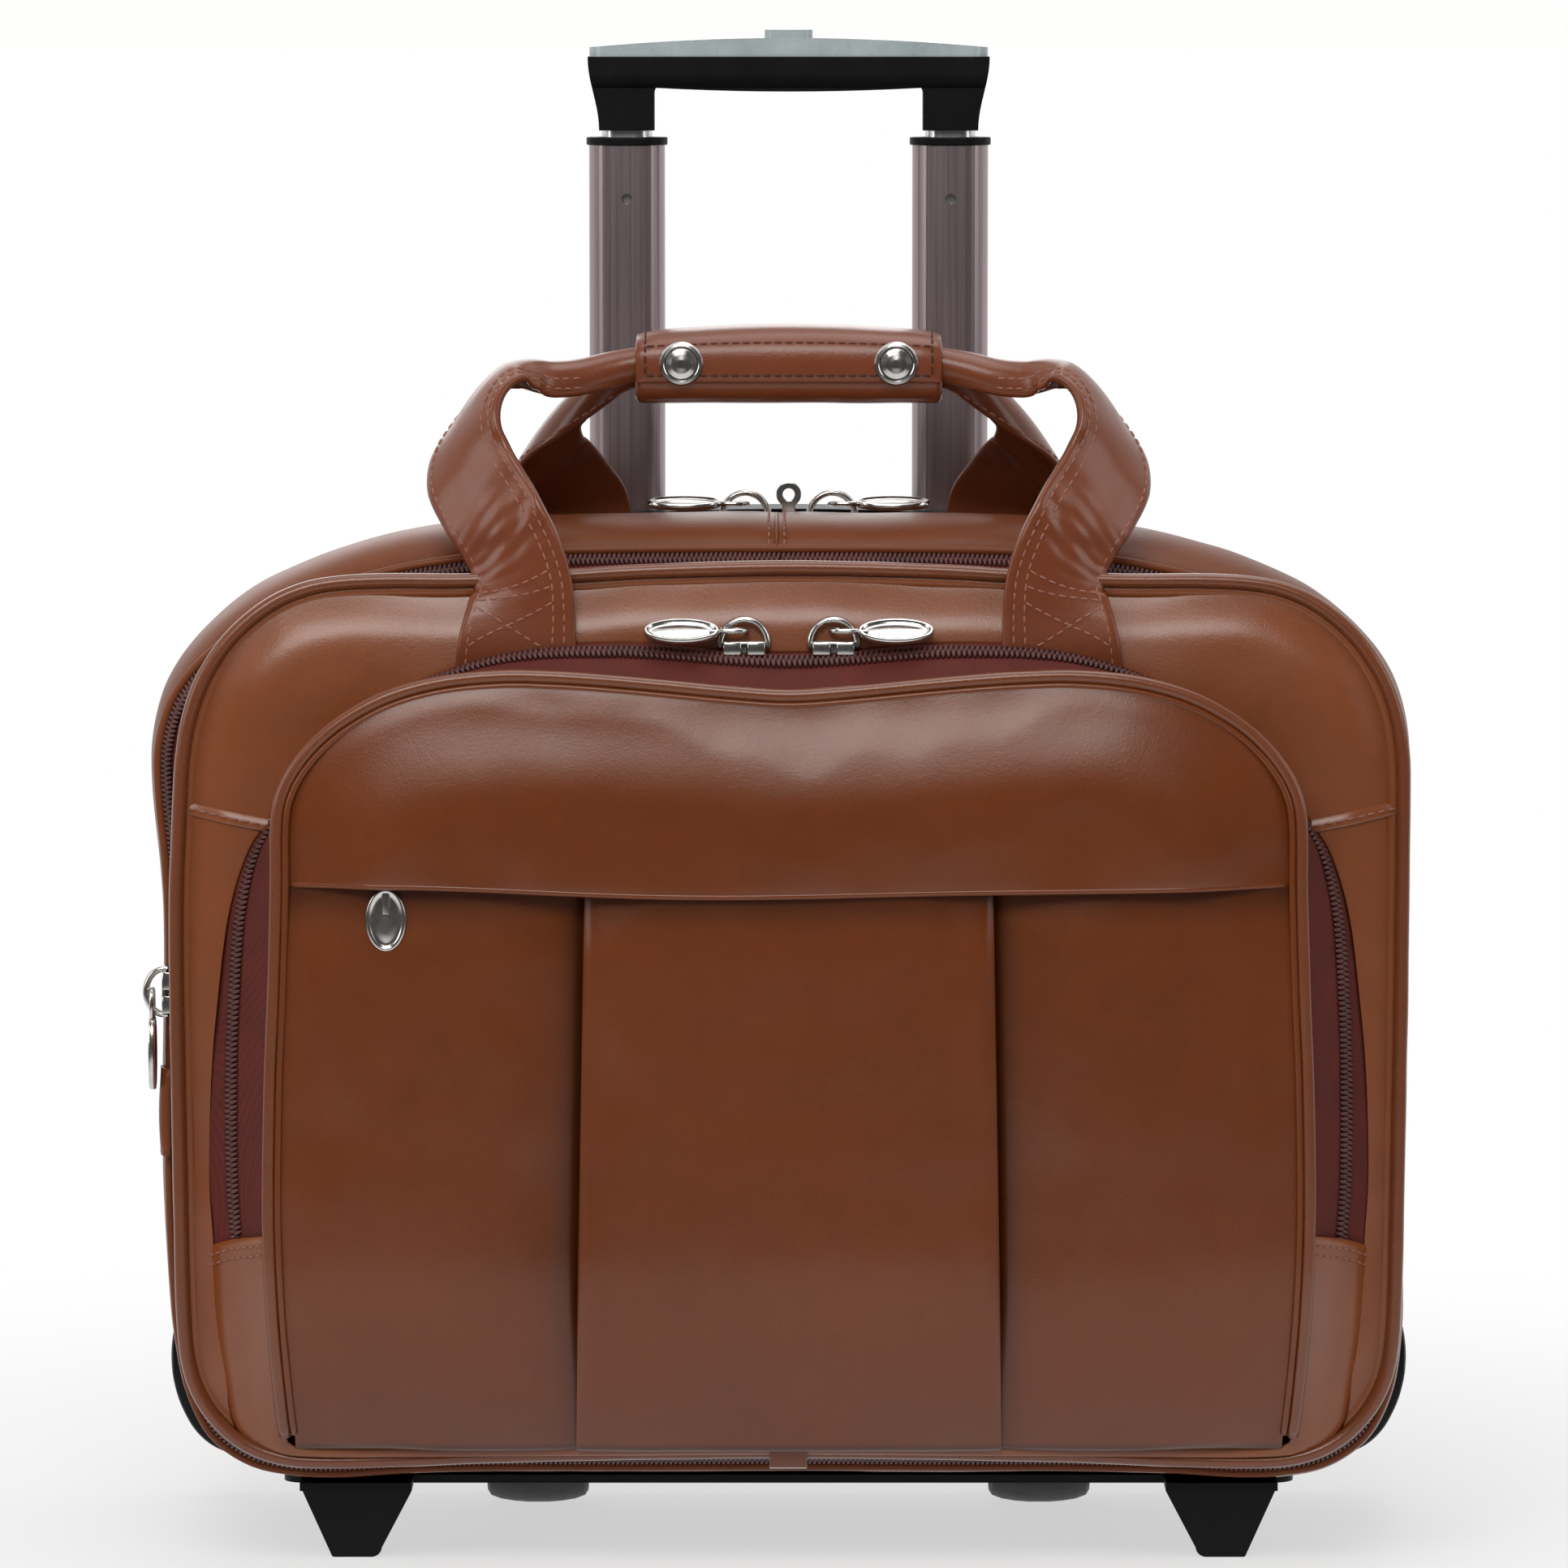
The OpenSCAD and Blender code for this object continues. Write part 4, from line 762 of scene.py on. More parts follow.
# Lapped seam in each side of the front: the upper piece lies over the lower one
LAP_ROWS = ((-0.3, -0.6), (0.0, 0.35), (1.0, 0.5), (2.6, 0.25), (4.4, -0.5), (6.0, -1.6), (7.5, -3.2))
runs = []
xs = np.linspace(186.5, 217.6, 16)
for label, sx in SIDES:
    grid = []
    for dz, lift in LAP_ROWS:
        x, z = sx * xs + 1.2, 273.6 + 0.2 * (xs - 201) + dz
        grid.append(xyz(x, front_height(x, z) - lift - 0.7, z))
    surface(f"front_lap_{label}", grid, LEATHER_SIDE, "front_section", fine=1)
    runs.append((grid[2] + [0, -0.1, 1.4], (0, -1, 0)))
stitches("front_lap_stitches", runs, THREAD, "front_section")

# Pocket: zipped sides, with a leather gusset at their foot

ZIP_LOW, ZIP_AT = 125.0, 0.6
brow = 3.0 * smooth((pocket_o.p[:, 1] - 280) / 46)


def tuck(z):
    """How far the pocket draws back towards its foot."""
    return 22.0 * (1 - np.clip((np.asarray(z, float) - 46) / 78, 0, 1)) ** 2.3


def pocket_ring(t):
    """Side of the pocket from its piping, t = 0, over the zip, t = 0.6, to the front panel, t = 1."""
    b = chain_o.ring(0.0, np.minimum(-77.2 + 0.3 * tuck(chain_o.p[:, 1]), -72.5))
    if t <= ZIP_AT:
        return between(pocket_o.ring(-0.4, -94.6 + brow + tuck(pocket_o.p[:, 1])), b, t / ZIP_AT)
    return between(b, base_o.ring(1.2, -68.8), (t - ZIP_AT) / 0.4)


keep = arc(pocket_o, ZIP_LOW)
low = [i for i in range(N) if pocket_o.p[i, 1] <= ZIP_LOW + 3.0]
centre = pocket_ring(ZIP_AT)[keep]
across = unit((pocket_ring(0.8) - pocket_ring(0.35))[keep])
nrm = facing(np.cross(tangents(centre), across), xyz(pocket_o.n[keep, 0], -0.6, pocket_o.n[keep, 1]))
for label, side, body in (("outer", 1, "front_section"), ("inner", -1, "pocket")):
    chain = coil(centre + nrm * 0.8, across, nrm, side, pitch=1.9, reach=3.5, radius=0.85)
    add(f"pocket_coil_{label}", chain, COIL, body)
outer_tape = loft("pocket_tape_outer", [pocket_ring(t)[keep] for t in (0.61, 0.75, 0.9, 1.0)], TAPE,
                  "front_section")
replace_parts(outer_tape, "pocket_zip")
inner_tape = loft("pocket_tape_inner", [pocket_ring(t)[keep] for t in (0.0, 0.15, 0.3, 0.45, 0.6)], TAPE,
                  "pocket")

rows = []
for t, lift in ((0.0, 0.6), (0.1, 1.0), (0.25, 1.6), (0.45, 2.2), (0.6, 2.4), (0.75, 2.2), (0.9, 1.4),
                (1.0, 0.3)):
    r = pocket_ring(t)[low]
    r[:, ::2] += pocket_o.n[low] * lift
    r[:, 1] -= 0.5 * lift
    rows.append(r)
low_gusset = surface("pocket_low_gusset", rows, LEATHER_SIDE, out=None, thick=1.6)
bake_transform(low_gusset)

runs = []
for sx in (-1, 1):
    for drop in (1.5, 5.2):
        i = min((i for i in low if pocket_o.p[i, 0] * sx > 0),
                key=lambda i: abs(pocket_o.p[i, 1] - ZIP_LOW + drop))
        line = np.array([r[low.index(i)] for r in rows])
        out = np.array([pocket_o.n[i, 0], -0.5, pocket_o.n[i, 1]])
        runs.append((resample(line + out * 0.3, 12), out))
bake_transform(stitches("pocket_gusset_stitches", runs, THREAD))

pipe = arc(pocket_o, 51.0)
line = pocket_o.ring(0.0, -95.4 + brow + tuck(pocket_o.p[:, 1]))[pipe]
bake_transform(piping("pocket_piping", line, 2.4, closed=False))
inner_pipe = pocket_o.inset(3.4)
line = inner_pipe.ring(0.0, -96.2 + brow + tuck(inner_pipe.p[:, 1]))[pipe]
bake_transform(piping("pocket_binding", line, 1.3, mat=LEATHER_POCKET_SHADED, closed=False))

# Front of the pocket: a middle and two sides, with a pleat between them

right = pocket_o.p[(pocket_o.p[:, 0] > 150) & (np.arange(N) < N // 2)]
right = right[np.argsort(right[:, 1])]


def half_width(z):
    return np.interp(z, right[:, 1], right[:, 0])


def pleat_x(z):
    return 76.9 - 3.7 * (z - 50) / 200


def pleat_open(z):
    """How far a pleat stands open, from its sewn foot up."""
    return 0.3 + 0.7 * smooth((z - 46) / 80)


def flap_edge(x):
    return 254.2 - 3.4 * np.cos(np.clip(x / 182, -1, 1) * math.pi / 2) ** 2 + 0.5 * np.sin(x * 0.035)


def shadow(x, z):
    """Shade under the flap and along the foot of the pocket."""
    return np.maximum(0.8 * smooth((z - flap_edge(x) + 19) / 19) ** 1.6, 0.9 * smooth((50.5 - z) / 3))


def cover(x, z):
    """Front of the pocket without its pleats."""
    d = half_width(np.minimum(z, 260)) - np.abs(x)
    y = POCKET_Y + 1.2 - 2.4 * smooth((d - 3) / 26) + tuck(z)
    y += 1.9 * smooth((z - 228) / 26)
    y += ripple(x, z, 0.010, 0.013, 1.0, 3.0) * smooth(d / 20)
    return y + ripple(x, z, 0.045, 0.045, 0.22, 8.0)


z = np.concatenate([np.linspace(46.5, 66, 12), np.linspace(70, 268, 52)])[:, None]
gap, sewn, panels = pleat_open(z), (z < 49) | (z > 262), []
share = np.concatenate([np.linspace(0, 0.84, 30), np.linspace(0.865, 1.0, 12)])
for label, sx in SIDES:
    edge, end = half_width(np.clip(z, 54, 268)) - 3.4, pleat_x(z) - 5.0
    x = edge + (end - edge) * share
    away = np.maximum(x - pleat_x(z), 0)
    y = cover(sx * x, z + 0 * x)
    y += (0.6 + 5.0 * gap) * np.exp(-away / 11.0) - 1.1 * bell(x - pleat_x(z), 38, 22)
    # Painted shade: the side panel darkens into each pleat, with the painted shadow under the flap and along
    # the foot
    fold = np.exp(-away / 3.6) * (0.3 + 0.6 * gap) + 0.3 * gap * np.exp(-away / 19)
    panels.append(surface(f"pocket_side_{label}", xyz(sx * x, y, z), [LEATHER_POCKET_SHADED, LINING], thick=1.8, fine=1,
                          pin=(share < 0.04) | (share > 0.9) | sewn, push=(3.0, 1.3, 0.012),
                          painted_shade=np.maximum(np.minimum(fold, 1), shadow(x, z))))
hem = [0.955, 0.98, 0.995, 1]
x = np.concatenate([[-k for k in reversed(hem)], np.linspace(-0.92, 0.92, 52), hem]) * pleat_x(z)
away = pleat_x(z) - np.abs(x)
y = cover(x, z + 0 * x) - (0.5 + 0.9 * gap) - 1.2 * smooth(away / 22)
y += (0.9 + 1.2 * gap) * (1 - np.clip(away / 5.0, 0, 1)) ** 2 + 0.8 * gap * bell(away, 15, 7)
# Painted shade on the middle panel's edge at the pleats, with the painted shadow under the flap and along the
# foot
panels.append(surface("pocket_middle", xyz(x, y, z), [LEATHER_POCKET_SHADED, LINING], thick=1.6, fine=1,
                      pin=(away < 1.0) | sewn, push=(3.0, 1.3, 0.012),
                      painted_shade=np.maximum(0.25 * (away < 0.2), shadow(x, z))))
for ob in panels:
    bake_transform(ob)
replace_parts(panels[2], "pocket_cover", "pocket_base")

# Flap over the hidden zip


def flap_height(x, z):
    d = edge_distance(pocket_o, x, z)
    y = POCKET_Y + 3.6 - (8.2 + 1.6 * smooth((326 - z) / 74)) * smooth((d + 2.0) / 46.0)
    y += ripple(x, z, 0.010, 0.018, 1.4, 5.0) * smooth(d / 22)
    # Its lower edge stands off a little where the pull hangs
    y -= 1.3 * bell(x, FLAP_PULL_X, 22) * smooth((274 - z) / 18)
    return np.maximum(y + ripple(x, z, 0.045, 0.045, 0.2, 1.0) * smooth(d / 10), FLAP_Y + 0.25)


inner_o = pocket_o.inset(2.6)
run = resample(inner_o.p[arc(inner_o, 254.0)], 150)
foot = np.linspace(run[0, 0], run[-1, 0], 150)
foot = np.stack([foot, flap_edge(foot)], 1)
shares = np.concatenate([[0, 0.012, 0.03], np.linspace(0.06, 0.94, 22), [0.97, 0.99, 1.0]])
gx, gz = np.moveaxis(np.array([between(foot, run, t) for t in shares]), 2, 0)
pin = np.ones(gx.shape, bool)
pin[2:-2, 2:-2] = False
# The flap carries painted shade in the groove beside its piping
pocket_flap = surface("pocket_flap_leather", xyz(gx, flap_height(gx, gz), gz), [LEATHER_POCKET_SHADED, LINING], "pocket",
                      thick=2.0, fine=1, pin=pin, push=(3.0, 1.3, 0.015),
                      painted_shade=bell(edge_distance(pocket_o, gx, gz), 2.8, 1.6) * 0.85)
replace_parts(pocket_flap, "pocket_flap")
xs = np.linspace(foot[0, 0] + 1.0, foot[-1, 0] - 1.0, 120)
zs = flap_edge(xs)
add("pocket_flap_fold", tube(xyz(xs, flap_height(xs, zs) + 1.0, zs + 0.2), 1.25), LEATHER_POCKET_SHADED, "pocket")

xs = np.linspace(-150, 150, 200)
line = xyz(xs, POCKET_Y - 0.2, FLAP_ZIP_Z)
chains = [coil(line, (0, 0, 1), (0, -1, 0), s, reach=2.2, radius=0.6) for s in (-1, 1)]
add("flap_zip_coil", join(chains), COIL, "pocket")
strip = [xyz(xs, POCKET_Y + 0.6 - 0.3 * math.cos(k), FLAP_ZIP_Z + h)
         for k, h in ((0, -5.6), (1, -2.5), (0.5, 2.5), (0, 5.6))]
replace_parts(loft("flap_zip_tape", strip, TAPE, "pocket"), "flap_zip")

# Small leather tab under the middle of the pocket
rows = [xyz(np.linspace(-7.0, 6.6, 9), y - 0.4, z - 1.0)
        for y, z in ((-74.6, 48.4), (-73.4, 44.6), (-71.6, 41.4), (-66, 40.2), (-56, 40.0))]
tab = loft("base_tab", rows, LEATHER_POCKET_SHADED)
modifier(tab, "SOLIDIFY", thickness=1.4 * MM, offset=0.0)
modifier(tab, "BEVEL", width=0.4 * MM, segments=2)
bake(tab)
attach(tab, "front_section")

# Rear compartment, with wells for the wheels and a slot for the trolley

WELLS = [((x - 22.4, 51.3, 10), (x + 22.4, 110, 53.6)) for x in (-95, 95)]
drop = 5.2 + 5.5 * smooth((np.abs(rear_o.p[:, 0]) - 86) / 40)
back_o = rear_o.inset(0.8 + drop * np.clip(rear_o.n[:, 1], 0, 1))
# Rows of the gusset: offset and depth, first over the outside and then back along the lining
outside = [(-3.4, REAR_Y + 0.6), (-1.0, REAR_Y + 0.3), (0.0, REAR_Y + 1.6), (0.35, 30), (0.5, 45), (0.5, 60),
           (0.5, 75), (0.3, 88), (-0.2, REAR_END)]
inside = [(-3.4, REAR_END), (-3.4, 75), (-3.4, 60), (-3.4, 45), (-3.4, 30)]
rings = [between(rear_o.ring(o, y), back_o.ring(o, y), float(smooth((y - 26) / 67)))
         for o, y in outside + inside]
rear_v = np.vstack(rings)
puff = wavy(rear_v, 0.018, 0.7, 11.0) + wavy(rear_v, 0.06, 0.25, 4.0)
for i in range(2, len(outside)):
    rear_v[row(i), 0] += rear_o.n[:, 0] * puff[row(i)] * 0.8
    rear_v[row(i), 2] += np.where(rear_o.p[:, 1] > 60, rear_o.n[:, 1] * puff[row(i)] * 0.8, 0)
rear_leather = add("rear_leather", (rear_v, loft_faces(len(rings), N, True, True)), [LEATHER_ROLL, LINING],
                   face_mat=np.repeat([0] * len(outside) + [1] * len(inside), N))
for lo, hi in WELLS:
    box_cut(rear_leather, lo, (*hi[:2], 33))
box_cut(rear_leather, (-80.2, 66, 355), (80.2, 96, 390))
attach(rear_leather, "case")
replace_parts(rear_leather, "rear_gusset")
piping("rear_edge_piping", rear_o.ring(-0.6, REAR_Y + 0.4), 1.5, "case", LEATHER_ROLL)


def back_height(x, z):
    d = edge_distance(back_o, x, z)
    y = REAR_END + 2.2 + 2.2 * smooth((d - 2) / 14) + ripple(x, z, 0.013, 0.013, 0.5, 4.0) * smooth(d / 20)
    return np.minimum(y, BACK_Y + 0.3)


gx, gz = discs(back_o, (2.0, 3.2, 5, 7.5, 11, 15))
# The back carries painted shade in the groove round its edge
back = surface("back_leather", xyz(gx, back_height(gx, gz), gz), [LEATHER_ROLL, LINING], out=(0, 1, 0),
               thick=2.0, closed=True, cap=True, painted_shade=bell(edge_distance(back_o, gx, gz), 2.4, 1.8) * 0.9)
for lo, hi in WELLS:
    box_cut(back, lo, hi)
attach(back, "case")
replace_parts(back, "back_panel")

# Piping round the back, broken at the wells
runs = [[]]
for i in np.roll(np.arange(N), N // 2):
    if back_o.p[i, 1] < 40 and 71 < abs(back_o.p[i, 0]) < 119:
        runs.append([])
    else:
        runs[-1].append(i)
ring = back_o.ring(-0.2, REAR_END + 1.6)
add("back_piping", join([tube(ring[s], 2.4, sides=12) for s in runs if len(s) > 2]), PIPING, "case")

# Three ribs of leather frame the trolley's side of the back, each sewn on both edges
RIB_X, RIB_LOW, RIB_TOP = 96.0, 64.0, 344
ribs, runs = [], []
for x, z, aside in ((np.full(80, -RIB_X), np.linspace(RIB_LOW + 2, RIB_TOP, 80), (4.6, 0, 0)),
                    (np.full(80, RIB_X), np.linspace(RIB_LOW + 2, RIB_TOP, 80), (4.6, 0, 0)),
                    (np.linspace(-RIB_X, RIB_X, 60), np.full(60, RIB_LOW), (0, 0, 4.6))):
    line = xyz(x, back_height(x, z) - 0.2, z)
    ribs.append(tube(line, 3.0, sides=14, squeeze=0.45))
    runs += [(line + np.multiply(aside, k) + [0, 0.3, 0], (0, 1, 0)) for k in (-1, 1)]
add("back_ribs", join(ribs), LEATHER_ROLL, "case")
stitches("back_stitches", runs, THREAD, "case")

# Main zip: one tape on the mid section, one on the rear compartment
keep = arc(mid_o, 62.0)
a, b = mid_o.ring(-4.6, 14.0)[keep], rear_o.ring(0.2, 21.0)[keep]
centre, across = between(a, b, 0.53), unit(b - a)
nrm = facing(np.cross(tangents(centre), across), xyz(mid_o.n[keep, 0], 0, mid_o.n[keep, 1]))
for label, side, body in (("rear", 1, "case"), ("front", -1, "mid_section")):
    add(f"main_coil_{label}", coil(centre + nrm * 0.5, across, nrm, side, reach=2.6), COIL, body)
main_tape = loft("main_tape_rear", [centre - nrm * 0.3, between(centre, b, 0.6) - nrm * 0.4, b - nrm * 1.0],
                 TAPE, "case")
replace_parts(main_tape, "main_zip")
loft("main_tape_front", [a - nrm * 1.0, between(a, centre, 0.4) - nrm * 0.4, centre - nrm * 0.3], TAPE,
     "mid_section")
keep = [i for i in range(N) if mid_o.p[i, 1] <= 66.0]
a, b = mid_o.ring(-5.0, 12.5)[keep], rear_o.ring(-2.0, 22.5)[keep]
rows = [between(a, b, t) for t in np.linspace(0, 1, 9)]
for k, r in enumerate(rows):
    r[:, ::2] -= mid_o.n[keep] * (3.0 * math.sin(math.pi * k / 8))
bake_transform(loft("base_gusset", rows, SLEEVE))


def board(name, o, y0, y1, crown):
    rows = [o.ring(-k, y0 + crown * (1 - smooth(k / 30))) for k in (22, 16, 8, 3, 1)]
    rows += [o.ring(0, y0 + crown + 0.8), o.ring(0, y1 - 0.8)] + [o.ring(-k, y1) for k in (1, 4, 12, 22)]
    return add(name, solid(rows), LINING, "case")


def rounded(half, low, top, r_top, r_low):
    turn = np.radians([30, 60, 90])
    pts = [(0, top), (half - r_top, top)]
    pts += [(half - r_top + r_top * math.sin(a), top - r_top + r_top * math.cos(a)) for a in turn]
    pts += [(half, low + r_low)]
    pts += [(half - r_low + r_low * math.cos(a), low + r_low - r_low * math.sin(a)) for a in turn]
    return outline(pts + [(0, low)], 120)


x, z = back_o.inset(4.2).p.T
lining_o = Outline(np.stack([x, np.maximum(z, 56 + 0.004 * z)], 1))
lining = board("lining_board_cloth", lining_o, 65.2, 68.0, 0.6)
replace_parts(lining, "lining_board")
divider = board("laptop_divider_pad", rounded(202.4, 31.4, 291.5, 24, 38), 22.6, 28.2, 1.4)
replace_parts(divider, "laptop_divider")

# Carry handle: a padded wrap, its sewn flap and the ends of the straps rolled up inside it

WRAP_SEAM = 3.4


def wrap_at(x, angle, grow):
    """Points on the section of the wrap at x; grow swells it."""
    c, s = np.cos(angle), np.sin(angle)
    y = WRAP_Y + (18.0 + grow) * np.sign(c) * np.abs(c) ** (2 / 3.0)
    z = WRAP_Z + (14.5 + grow) * np.sign(s) * np.abs(s) ** (2 / 2.7)
    return xyz(x, y, z - 3.0 * (x / WRAP_HALF) ** 2 * np.maximum(s, 0))


xs = np.linspace(-WRAP_HALF + 2, WRAP_HALF - 2, 47)
ends = [(WRAP_HALF - 0.5, -1.4), (WRAP_HALF + 0.2, -2.6)]
stations = [(-x, grow) for x, grow in reversed(ends)] + [(x, -1.0) for x in xs] + ends
wrap_v, faces = solid([wrap_at(x, circle(64), grow) for x, grow in stations])
wrap_v[:, 2] += wavy(wrap_v, 0.05, 0.35, 2.0)
wrap_body = add("handle_wrap_pad", (wrap_v, flipped(faces)), LEATHER_STRAP, "carry_grip")
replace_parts(wrap_body, "handle_wrap")

# The flap goes over the top and down the front to its lower edge
x, angle = np.meshgrid(np.linspace(-WRAP_HALF, WRAP_HALF, 57), np.radians(np.linspace(20, 197, 44)))
end_gap, low_gap = WRAP_HALF - np.abs(x), angle[-1, 0] - angle
held = np.minimum(np.minimum(end_gap / 3.0, low_gap / 0.12), 1.0)
puffed = 0.55 * smooth(np.minimum(end_gap / 9.0, low_gap / 0.3))
wrap_flap = surface("handle_wrap_flap", wrap_at(x, angle, 0.15 + puffed - 0.4 * (1 - held)), LEATHER_STRAP,
                    out=(0, 0, 1))
modifier(wrap_flap, "SOLIDIFY", thickness=1.6 * MM, offset=-1.0)
modifier(wrap_flap, "BEVEL", width=0.4 * MM, segments=2, limit_method="ANGLE")
bake(wrap_flap)
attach(wrap_flap, "carry_grip")

xs = np.linspace(-WRAP_HALF + WRAP_SEAM, WRAP_HALF - WRAP_SEAM, 60)
runs = [(wrap_at(xs, a, 0.62), (0, math.cos(a), math.sin(a))) for a in np.radians([186, 150])]
for sx in (-1, 1):
    line = wrap_at(sx * (WRAP_HALF - WRAP_SEAM), np.radians(np.linspace(30, 186, 40)), 0.5)
    runs.append((line, unit(line * [0, 1, 1] - [0, WRAP_Y, WRAP_Z])))
# Dark thread here is painted shade for the stitch holes
stitches("handle_wrap_stitches", runs, THREAD_SHADED, "carry_grip")

# Straps: flat where they are sewn down, rolled up where they enter the wrap. Each station has its place, the
# direction across the strap in X and Y, the curl in degrees and the share of the full width.
STRAP_ROWS, STRAP_COLS, STRAP_THICK, STRAP_HALF = 220, 40, 3.0, 21.2
FRONT_STRAP = [
    (-97.6, -71.6, 329.0, 1, 0, 0, 1.04), (-97.4, -72.8, 338.0, 1, 0, 0, 1.0),
    (-96.0, -71.8, 350.0, 1, -0.05, 8, 0.92), (-95.6, -70.6, 360.0, 0.98, -0.2, 18, 0.85),
    (-98.6, -68.4, 370.5, 0.94, -0.34, 14, 0.84), (-104.2, -65.0, 381.5, 0.92, -0.4, 8, 0.85),
    (-110.4, -59.5, 391.0, 0.9, -0.44, 6, 0.86), (-115.2, -54.0, 399.5, 0.84, -0.54, 8, 0.86),
    (-117.2, -48.0, 408.5, 0.66, -0.75, 14, 0.85), (-115.4, -42.0, 418.5, 0.4, -0.92, 30, 0.83),
    (-110.4, -36.0, 428.6, 0.2, -0.98, 60, 0.8), (-103.0, -31.0, 435.6, 0.05, -1, 110, 0.76),
    (-94.5, -27.0, 437.4, 0, -1, 180, 0.72), (-85.5, -23.0, 436.4, 0, -1, 245, 0.7),
    (-75.5, -19.6, 437.2, 0, -1, 290, 0.68), (-64.0, -17.0, 439.8, 0, -1, 320, 0.67),
    (-53.5, -15.8, 441.4, 0, -1, 330, 0.67)]
REAR_STRAP = [
    (-80, 51.0, 374.0, 1, 0, 0, 1), (-81, 49.0, 381.0, 1, 0.05, 0, 1), (-86, 43.0, 389.0, 0.92, 0.3, 4, 0.95),
    (-91.5, 34.0, 398.0, 0.7, 0.65, 20, 0.88), (-90.0, 23.0, 409.5, 0.35, 0.9, 70, 0.82),
    (-80.0, 12.0, 423.0, 0.1, 1, 170, 0.74), (-67.0, 4.0, 434.0, 0, 1, 280, 0.68),
    (-53.5, 0.3, 439.0, 0, 1, 330, 0.66)]
# Rows of stitches across the strap from -1 to 1, and the crossed lines at the foot of a front strap, each
# with the distances along the strap that it starts and ends at
FRONT_ROWS, REAR_ROWS = (-0.84, 0.8, 0.6), (-0.88, 0.88)
FOOT_FROM, FOOT_TO, FOOT_LINES = -0.84, 0.6, ((28, 34), (24, 30), (8, 26), (22, 8))


def strap(name, stations, rear, mirror, lower, upper, split):
    """One strap in two meshes, split at a share of its length; returns the lower mesh."""
    n, w = STRAP_ROWS, 2 * STRAP_COLS
    path = catmull(stations, False, 14)
    s = run_length(path[:, :3])
    along = np.linspace(0, s[-1], n)
    path = sample(along, s, path)
    p, t, way = path[:, :3], tangents(path[:, :3]), xyz(path[:, 3], path[:, 4], 0)
    u = unit(way - t * (way * t).sum(1)[:, None])
    up = np.cross(t, u) if rear else np.cross(u, t)
    curl, half = np.radians(np.maximum(path[:, 5], 0.5)), STRAP_HALF * path[:, 6]

    def normal(i, v):
        a = v * curl[i] / 2
        return u[i] * math.sin(a) + up[i] * math.cos(a)

    def point(i, v, out):
        r = 2 * half[i] / curl[i]
        a = v * curl[i] / 2
        return p[i] + u[i] * ((r + out) * math.sin(a)) - up[i] * (r - (r + out) * math.cos(a))

    grid = np.zeros((n, w, 3))
    for i, d in enumerate(along):
        crease = 0.55 * bell(d / s[-1], 0.27, 0.09)
        for j, v in enumerate(np.linspace(-1, 1, STRAP_COLS)):
            hem = 0.0 if rear else smooth((v - 0.86) / 0.05)
            thick = STRAP_THICK * (0.62 + 0.38 * smooth((1 - abs(v)) / 0.10)) + hem
            fold = crease * noise.noise(Vector((d * 0.22 - v * 0.9, v * 1.6, 1.0 + 9 * rear))) * 1.5
            grain = fold + 0.3 * noise.noise(Vector((d * 0.06, v * 1.7, 3.0)))
            grid[i, j] = point(i, v, thick / 2 + grain)
            grid[i, w - 1 - j] = point(i, v, -thick / 2 + grain)
    sign = np.array([-1.0 if mirror else 1.0, 1, 1])
    grid *= sign
    cut, made = int(n * split), []
    for part, lo, hi, bodies in (("low", 0, cut + 1, lower), ("high", cut, n, upper)):
        m = hi - lo
        # The ends have points of their own, which keeps their edges sharp
        f = loft_faces(m, w)
        f += [tuple(m * w + j for j in reversed(range(w))), tuple((m + 1) * w + j for j in range(w))]
        v = np.vstack([grid[lo:hi].reshape(-1, 3), grid[lo], grid[hi - 1]])
        ob = add(f"{name}_{part}", (v, flipped(f) if mirror == rear else f), LEATHER_STRAP)
        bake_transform(ob)
        made.append(ob)
        sewn = range(max(lo, 2), min(hi, int(n * 0.86)))
        lines = [[(point(i, v, STRAP_THICK / 2), normal(i, v)) for i in sewn]
                 for v in (REAR_ROWS if rear else FRONT_ROWS)]
        for d0, d1 in FOOT_LINES if part == "low" and not rear else ():
            lines.append([])
            for q in np.linspace(0, 1, 24):
                at, v = between(d0, d1, q) / s[-1] * (n - 1), between(FOOT_FROM, FOOT_TO, q)
                i = min(int(at), n - 2)
                a, b = (point(k, v, STRAP_THICK / 2 + 0.1) for k in (i, i + 1))
                lines[-1].append((between(a, b, at - i), up[i]))
        runs = [np.moveaxis(np.array(line), 1, 0) * sign for line in lines]
        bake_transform(stitches(f"{name}_{part}_stitches", runs, THREAD))
    return made[0]


grip = ("mid_section", "carry_grip")
for side, sx in SIDES:
    low = strap(f"front_strap_{side}_leather", FRONT_STRAP, False, sx > 0, ("front_section", "mid_section"),
                grip, 0.42)
    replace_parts(low, f"front_strap_{side}")
    low = strap(f"rear_strap_{side}_leather", REAR_STRAP, True, sx > 0, ("case", "mid_section"), grip, 0.6)
    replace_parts(low, f"rear_strap_{side}")

xs = np.linspace(-WRAP_HALF - 0.4, WRAP_HALF + 0.4, 24)
cores = [tube(xyz(xs, WRAP_Y + y, WRAP_Z + z), 6.6 + 0.15 * np.sin(xs), (0, 0, 1), 20)
         for y, z in ((-8, -0.5), (8, -2.5))]
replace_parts(add("handle_rolled_cores", join(cores), LEATHER_STRAP, "carry_grip"), "handle_cores")

# Zip hardware: sliders with their chain along local X and their face up local Z, and the pulls on them

PULL_RISE = 5.6


def oval(length, width, n, power=2.0):
    c, s = np.cos(circle(n)), np.sin(circle(n))
    return (length / 2 * np.sign(c) * np.abs(c) ** (2 / power),
            width / 2 * np.sign(s) * np.abs(s) ** (2 / power))


